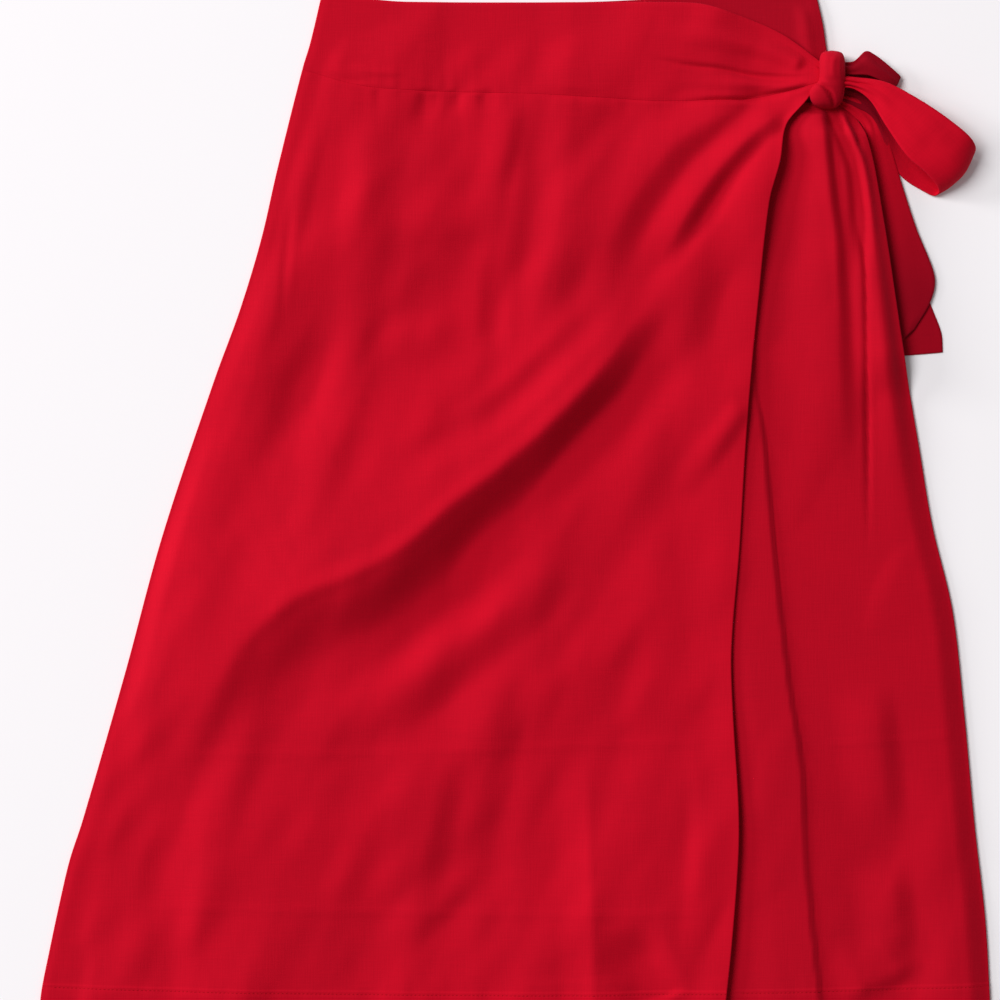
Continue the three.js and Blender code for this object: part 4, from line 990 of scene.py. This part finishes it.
def knot_piece():
    section = spline(KNOT, KNOT_RINGS)
    turn = np.linspace(0, 2 * math.pi, KNOT_SIDES, endpoint=False)
    vertices, cloth = [], []
    for down, left, right, top in section:
        level = np.full(KNOT_SIDES, down)
        half_width, half_height = (right - left) / 2, (top - KNOT_FLOOR) / 2
        across = (left + right) / 2 + half_width * squared(np.cos(turn))
        height = (top + KNOT_FLOOR) / 2 + half_height * squared(np.sin(turn))
        facing_up = np.clip(np.sin(turn), 0, 1)
        height = height + facing_up * fold_field(KNOT_FOLDS, across, level)
        vertices.append(np.column_stack([across, level, height]))
        cloth.append(np.column_stack([half_width * turn, level, 0 * turn]))
    ends = []
    for (down, left, right, top), beyond in ((section[0], -1), (section[-1], 1)):
        ends.append(((left + right) / 2, down + beyond, (top + KNOT_FLOOR) / 2))
    vertices = to_frame(np.vstack([*vertices, ends]))
    cloth = np.vstack([*cloth, [(0, section[0][0], 0), (0, section[-1][0], 0)]])
    faces = ring_faces(0, KNOT_RINGS, KNOT_SIDES)
    last = (KNOT_RINGS - 1) * KNOT_SIDES
    end = KNOT_RINGS * KNOT_SIDES
    for k in range(KNOT_SIDES):
        following = (k + 1) % KNOT_SIDES
        faces.append((end, following, k))
        faces.append((end + 1, last + k, last + following))
    piece = object_from("knot_cloth", vertices, faces, cloth, knot_linen_painted_shade)
    turn_outwards(piece)
    return piece


# The bands: thickness, the share of the length over which the turned end bulges, the share at which the
# painted shade within a fold is full, and the width and sizes of their soft hills
BAND_SKIN = 1.1
TURNED_END = 0.06
SHADE_FULL = 0.9
SOFT_WIDTH = 30
SOFT_ALONG = 13
SOFT_ACROSS = 9
# How each band is gathered where it leaves the knot: folds across it, where they begin, their height and
# reach, whether both ends are gathered, and the height of its soft hills
GATHERS = {
    "front_loop": (2.5, 0.6, 1.5, 22, True, 0.7),
    "rear_loop": (1.5, 2.2, 1.3, 22, True, 0.4),
    "upper_tail": (2.5, 1.0, 1.4, 24, False, 0.3),
    "lower_tail": (2.0, 2.0, 1.0, 20, False, 0),
}


def band(kind, edges, steps, columns, crown, floor, material, skin=BAND_SKIN, painted_shade_ends=(0, 0, 1), bulge=0):
    """A band of cloth between two edges, crowned across its width. Its triple of painted shade, for the
    shade within a fold, gives how dark it is at its start and end, and the share of the length at which
    it begins to change."""
    folds, turn, fold_rise, reach, both_ends, softness = GATHERS[kind]
    upper = spline([edge[0] for edge in edges], steps)
    lower = spline([edge[1] for edge in edges], steps)
    share = np.linspace(0, 1, columns)[None, :]
    middle = lower[:, None, :] * (1 - share[..., None]) + upper[:, None, :] * share[..., None]
    flipped = middle * np.array([1, -1, 1])
    normal = normals_of(flipped)
    centre_line = middle.mean(axis=1)
    run = lengths_along(centre_line)[:, None]
    to_root = np.minimum(run, run[-1] - run if both_ends else run)
    waves = np.cos(2 * math.pi * folds * share + turn) * np.exp(-to_root / reach)
    along, over = run + 0 * share, share * SOFT_WIDTH + 0 * run
    soft = softness * hills(along, over, SOFT_ALONG, SOFT_ACROSS, SEEDS[kind])
    turned_end = bulge * hump(run / run[-1], 0.5, TURNED_END)
    offset = (crown + turned_end + soft) * np.sin(math.pi * share) + fold_rise * waves
    moved = flipped + normal * offset[..., None]
    moved = moved * np.array([1, -1, 1])
    moved[..., 2] = np.maximum(moved[..., 2], floor + skin / 2)
    width = np.linalg.norm(upper - lower, axis=1)[:, None]
    # Painted shade along the band, kept in the cloth attribute's third number for the linen to darken by.
    shade_at_start, shade_at_end, shade_from = painted_shade_ends
    changed = smooth(shade_from, SHADE_FULL, run / run[-1])
    painted_shade = shade_at_start + (shade_at_end - shade_at_start) * changed
    cloth = np.stack([(share - 0.5) * width, along, painted_shade + 0 * share], axis=-1)
    return shell(kind + "_cloth", moved, cloth, material, skin)


def tail_edges(rows):
    edges = []
    for down, inner, inner_height, outer, outer_down, outer_height in rows:
        if inner is None:
            inner = float(right_side(down)) - TAIL_TUCK
        edges.append(((outer, outer_down, outer_height), (inner, down, inner_height)))
    return edges


knot = knot_piece()
# Painted shade: the front loop's lower layer back at the knot, the rear loop all along and the upper tail
# towards its end are painted darker, for the shade they lie in.
front_loop = band(
    "front_loop", FRONT_LOOP, steps=150, columns=22, crown=1.2, floor=0,
    material=tie_linen_painted_light, painted_shade_ends=(0, 1, 0.62), bulge=4.2)
rear_loop = band(
    "rear_loop", REAR_LOOP, steps=100, columns=16, crown=0.8, floor=0,
    material=tie_linen_painted_shade, painted_shade_ends=(0.25, 0.6, 0.4))
upper_tail = band(
    "upper_tail", tail_edges(UPPER_TAIL), steps=110, columns=18, crown=1.2, floor=LAYER,
    material=tie_linen_painted_light, skin=SKIN, painted_shade_ends=(0.12, 0.75, 0.25))
lower_tail = band(
    "lower_tail", tail_edges(LOWER_TAIL), steps=110, columns=18, crown=0.1, floor=0,
    material=tie_linen_painted_shade, skin=SKIN)


# What each piece is, and what it stands for

SHEETS = [
    # piece, node, slot, flat width and length in metres, area, held, rests on
    (back_panel, "back_panel", "skirt_cloth", (0.73, 0.71), 0.40, "laid", []),
    (back_yoke, "back_yoke", "skirt_cloth", (0.41, 0.09), 0.028, "laid", []),
    (inner_front_panel, "inner_front_panel", "skirt_cloth", (0.33, 0.71), 0.17, "gathered", [back_panel]),
    (inner_front_yoke, "inner_front_yoke", "skirt_cloth", (0.15, 0.09), 0.0112, "laid", [back_yoke]),
    (outer_front_panel, "outer_front_panel", "skirt_cloth", (0.54, 0.71), 0.313, "gathered",
     [inner_front_panel]),
    (outer_front_yoke, "outer_front_yoke", "skirt_cloth", (0.40, 0.09), 0.0244, "gathered",
     [inner_front_yoke]),
    (front_loop, "bow_loop_front", "tie_cloth", (0.032, 0.215), None, "folded", [knot]),
    (rear_loop, "bow_loop_rear", "tie_cloth", (0.016, 0.10), None, "folded", [knot]),
    (upper_tail, "tie_tail_upper", "tie_cloth", (0.026, 0.195), None, "draped", [lower_tail]),
    (lower_tail, "tie_tail_lower", "tie_cloth", (0.026, 0.20), None, "laid", [knot]),
]
for piece, cad_node, slot_name, flat, area, held, rests_on in SHEETS:
    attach(piece, "root")
    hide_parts(cad_node)
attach(knot, "root")
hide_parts("tie_knot")
for sewing in (outer_hem_stitches, inner_hem_stitches):
    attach(sewing, "root")


# Floor, light and camera

FLOOR_SIZE = 12
FLOOR_FINISH = {
    "Base Color": (0.975, 0.945, 0.965, 1), "Roughness": 0.95, "Specular IOR Level": 0.1,
}
SKY_COLOUR = (1.0, 0.985, 1.0, 1)


def floor_piece():
    half = FLOOR_SIZE / 2
    corners = [(-half, -half, 0), (half, -half, 0), (half, half, 0), (-half, half, 0)]
    mesh = bpy.data.meshes.new("floor")
    mesh.from_pydata(corners, [], [(0, 1, 2, 3)])
    mesh.materials.append(new_material("pale_floor", FLOOR_FINISH)[0])
    piece = bpy.data.objects.new("floor", mesh)
    add_to_scene(piece)
    return piece


def softbox(name, place, size, power):
    """A square light that faces the middle of the skirt."""
    light = bpy.data.lights.new(name, "AREA")
    light.shape = "SQUARE"
    light.size = size
    light.energy = power
    lamp = bpy.data.objects.new(name, light)
    lamp.location = place
    x, y, z = place
    lamp.rotation_euler = (math.atan2(math.hypot(x, y), z), 0, math.atan2(y, x) + math.pi / 2)
    add_to_scene(lamp)


def sky(strength):
    world = bpy.data.worlds.new("studio")
    world.use_nodes = True
    background = world.node_tree.nodes["Background"]
    background.inputs["Color"].default_value = SKY_COLOUR
    background.inputs["Strength"].default_value = strength
    bpy.context.scene.world = world


VIEW_WIDTH = 0.750
LENS = 150
SENSOR = 36
VIEW_CENTRE_ACROSS = 0
VIEW_CENTRE_DOWN = 375
VIEW_CENTRE_HEIGHT = 3


def camera():
    lens = bpy.data.cameras.new("camera")
    lens.lens = LENS
    lens.sensor_width = SENSOR
    eye = bpy.data.objects.new("camera", lens)
    x, y, z = to_frame([VIEW_CENTRE_ACROSS, VIEW_CENTRE_DOWN, VIEW_CENTRE_HEIGHT])
    eye.location = (x, y, z + VIEW_WIDTH * LENS / SENSOR)
    add_to_scene(eye)
    bpy.context.scene.camera = eye


floor_piece()
softbox("key_light", place=(-8.5, 5.4, 10.6), size=8.0, power=1840)
softbox("side_light", place=(-9.0, 3.4, 2.6), size=2.4, power=560)
sky(strength=0.24)
camera()
bpy.context.scene.view_settings.view_transform = "Standard"
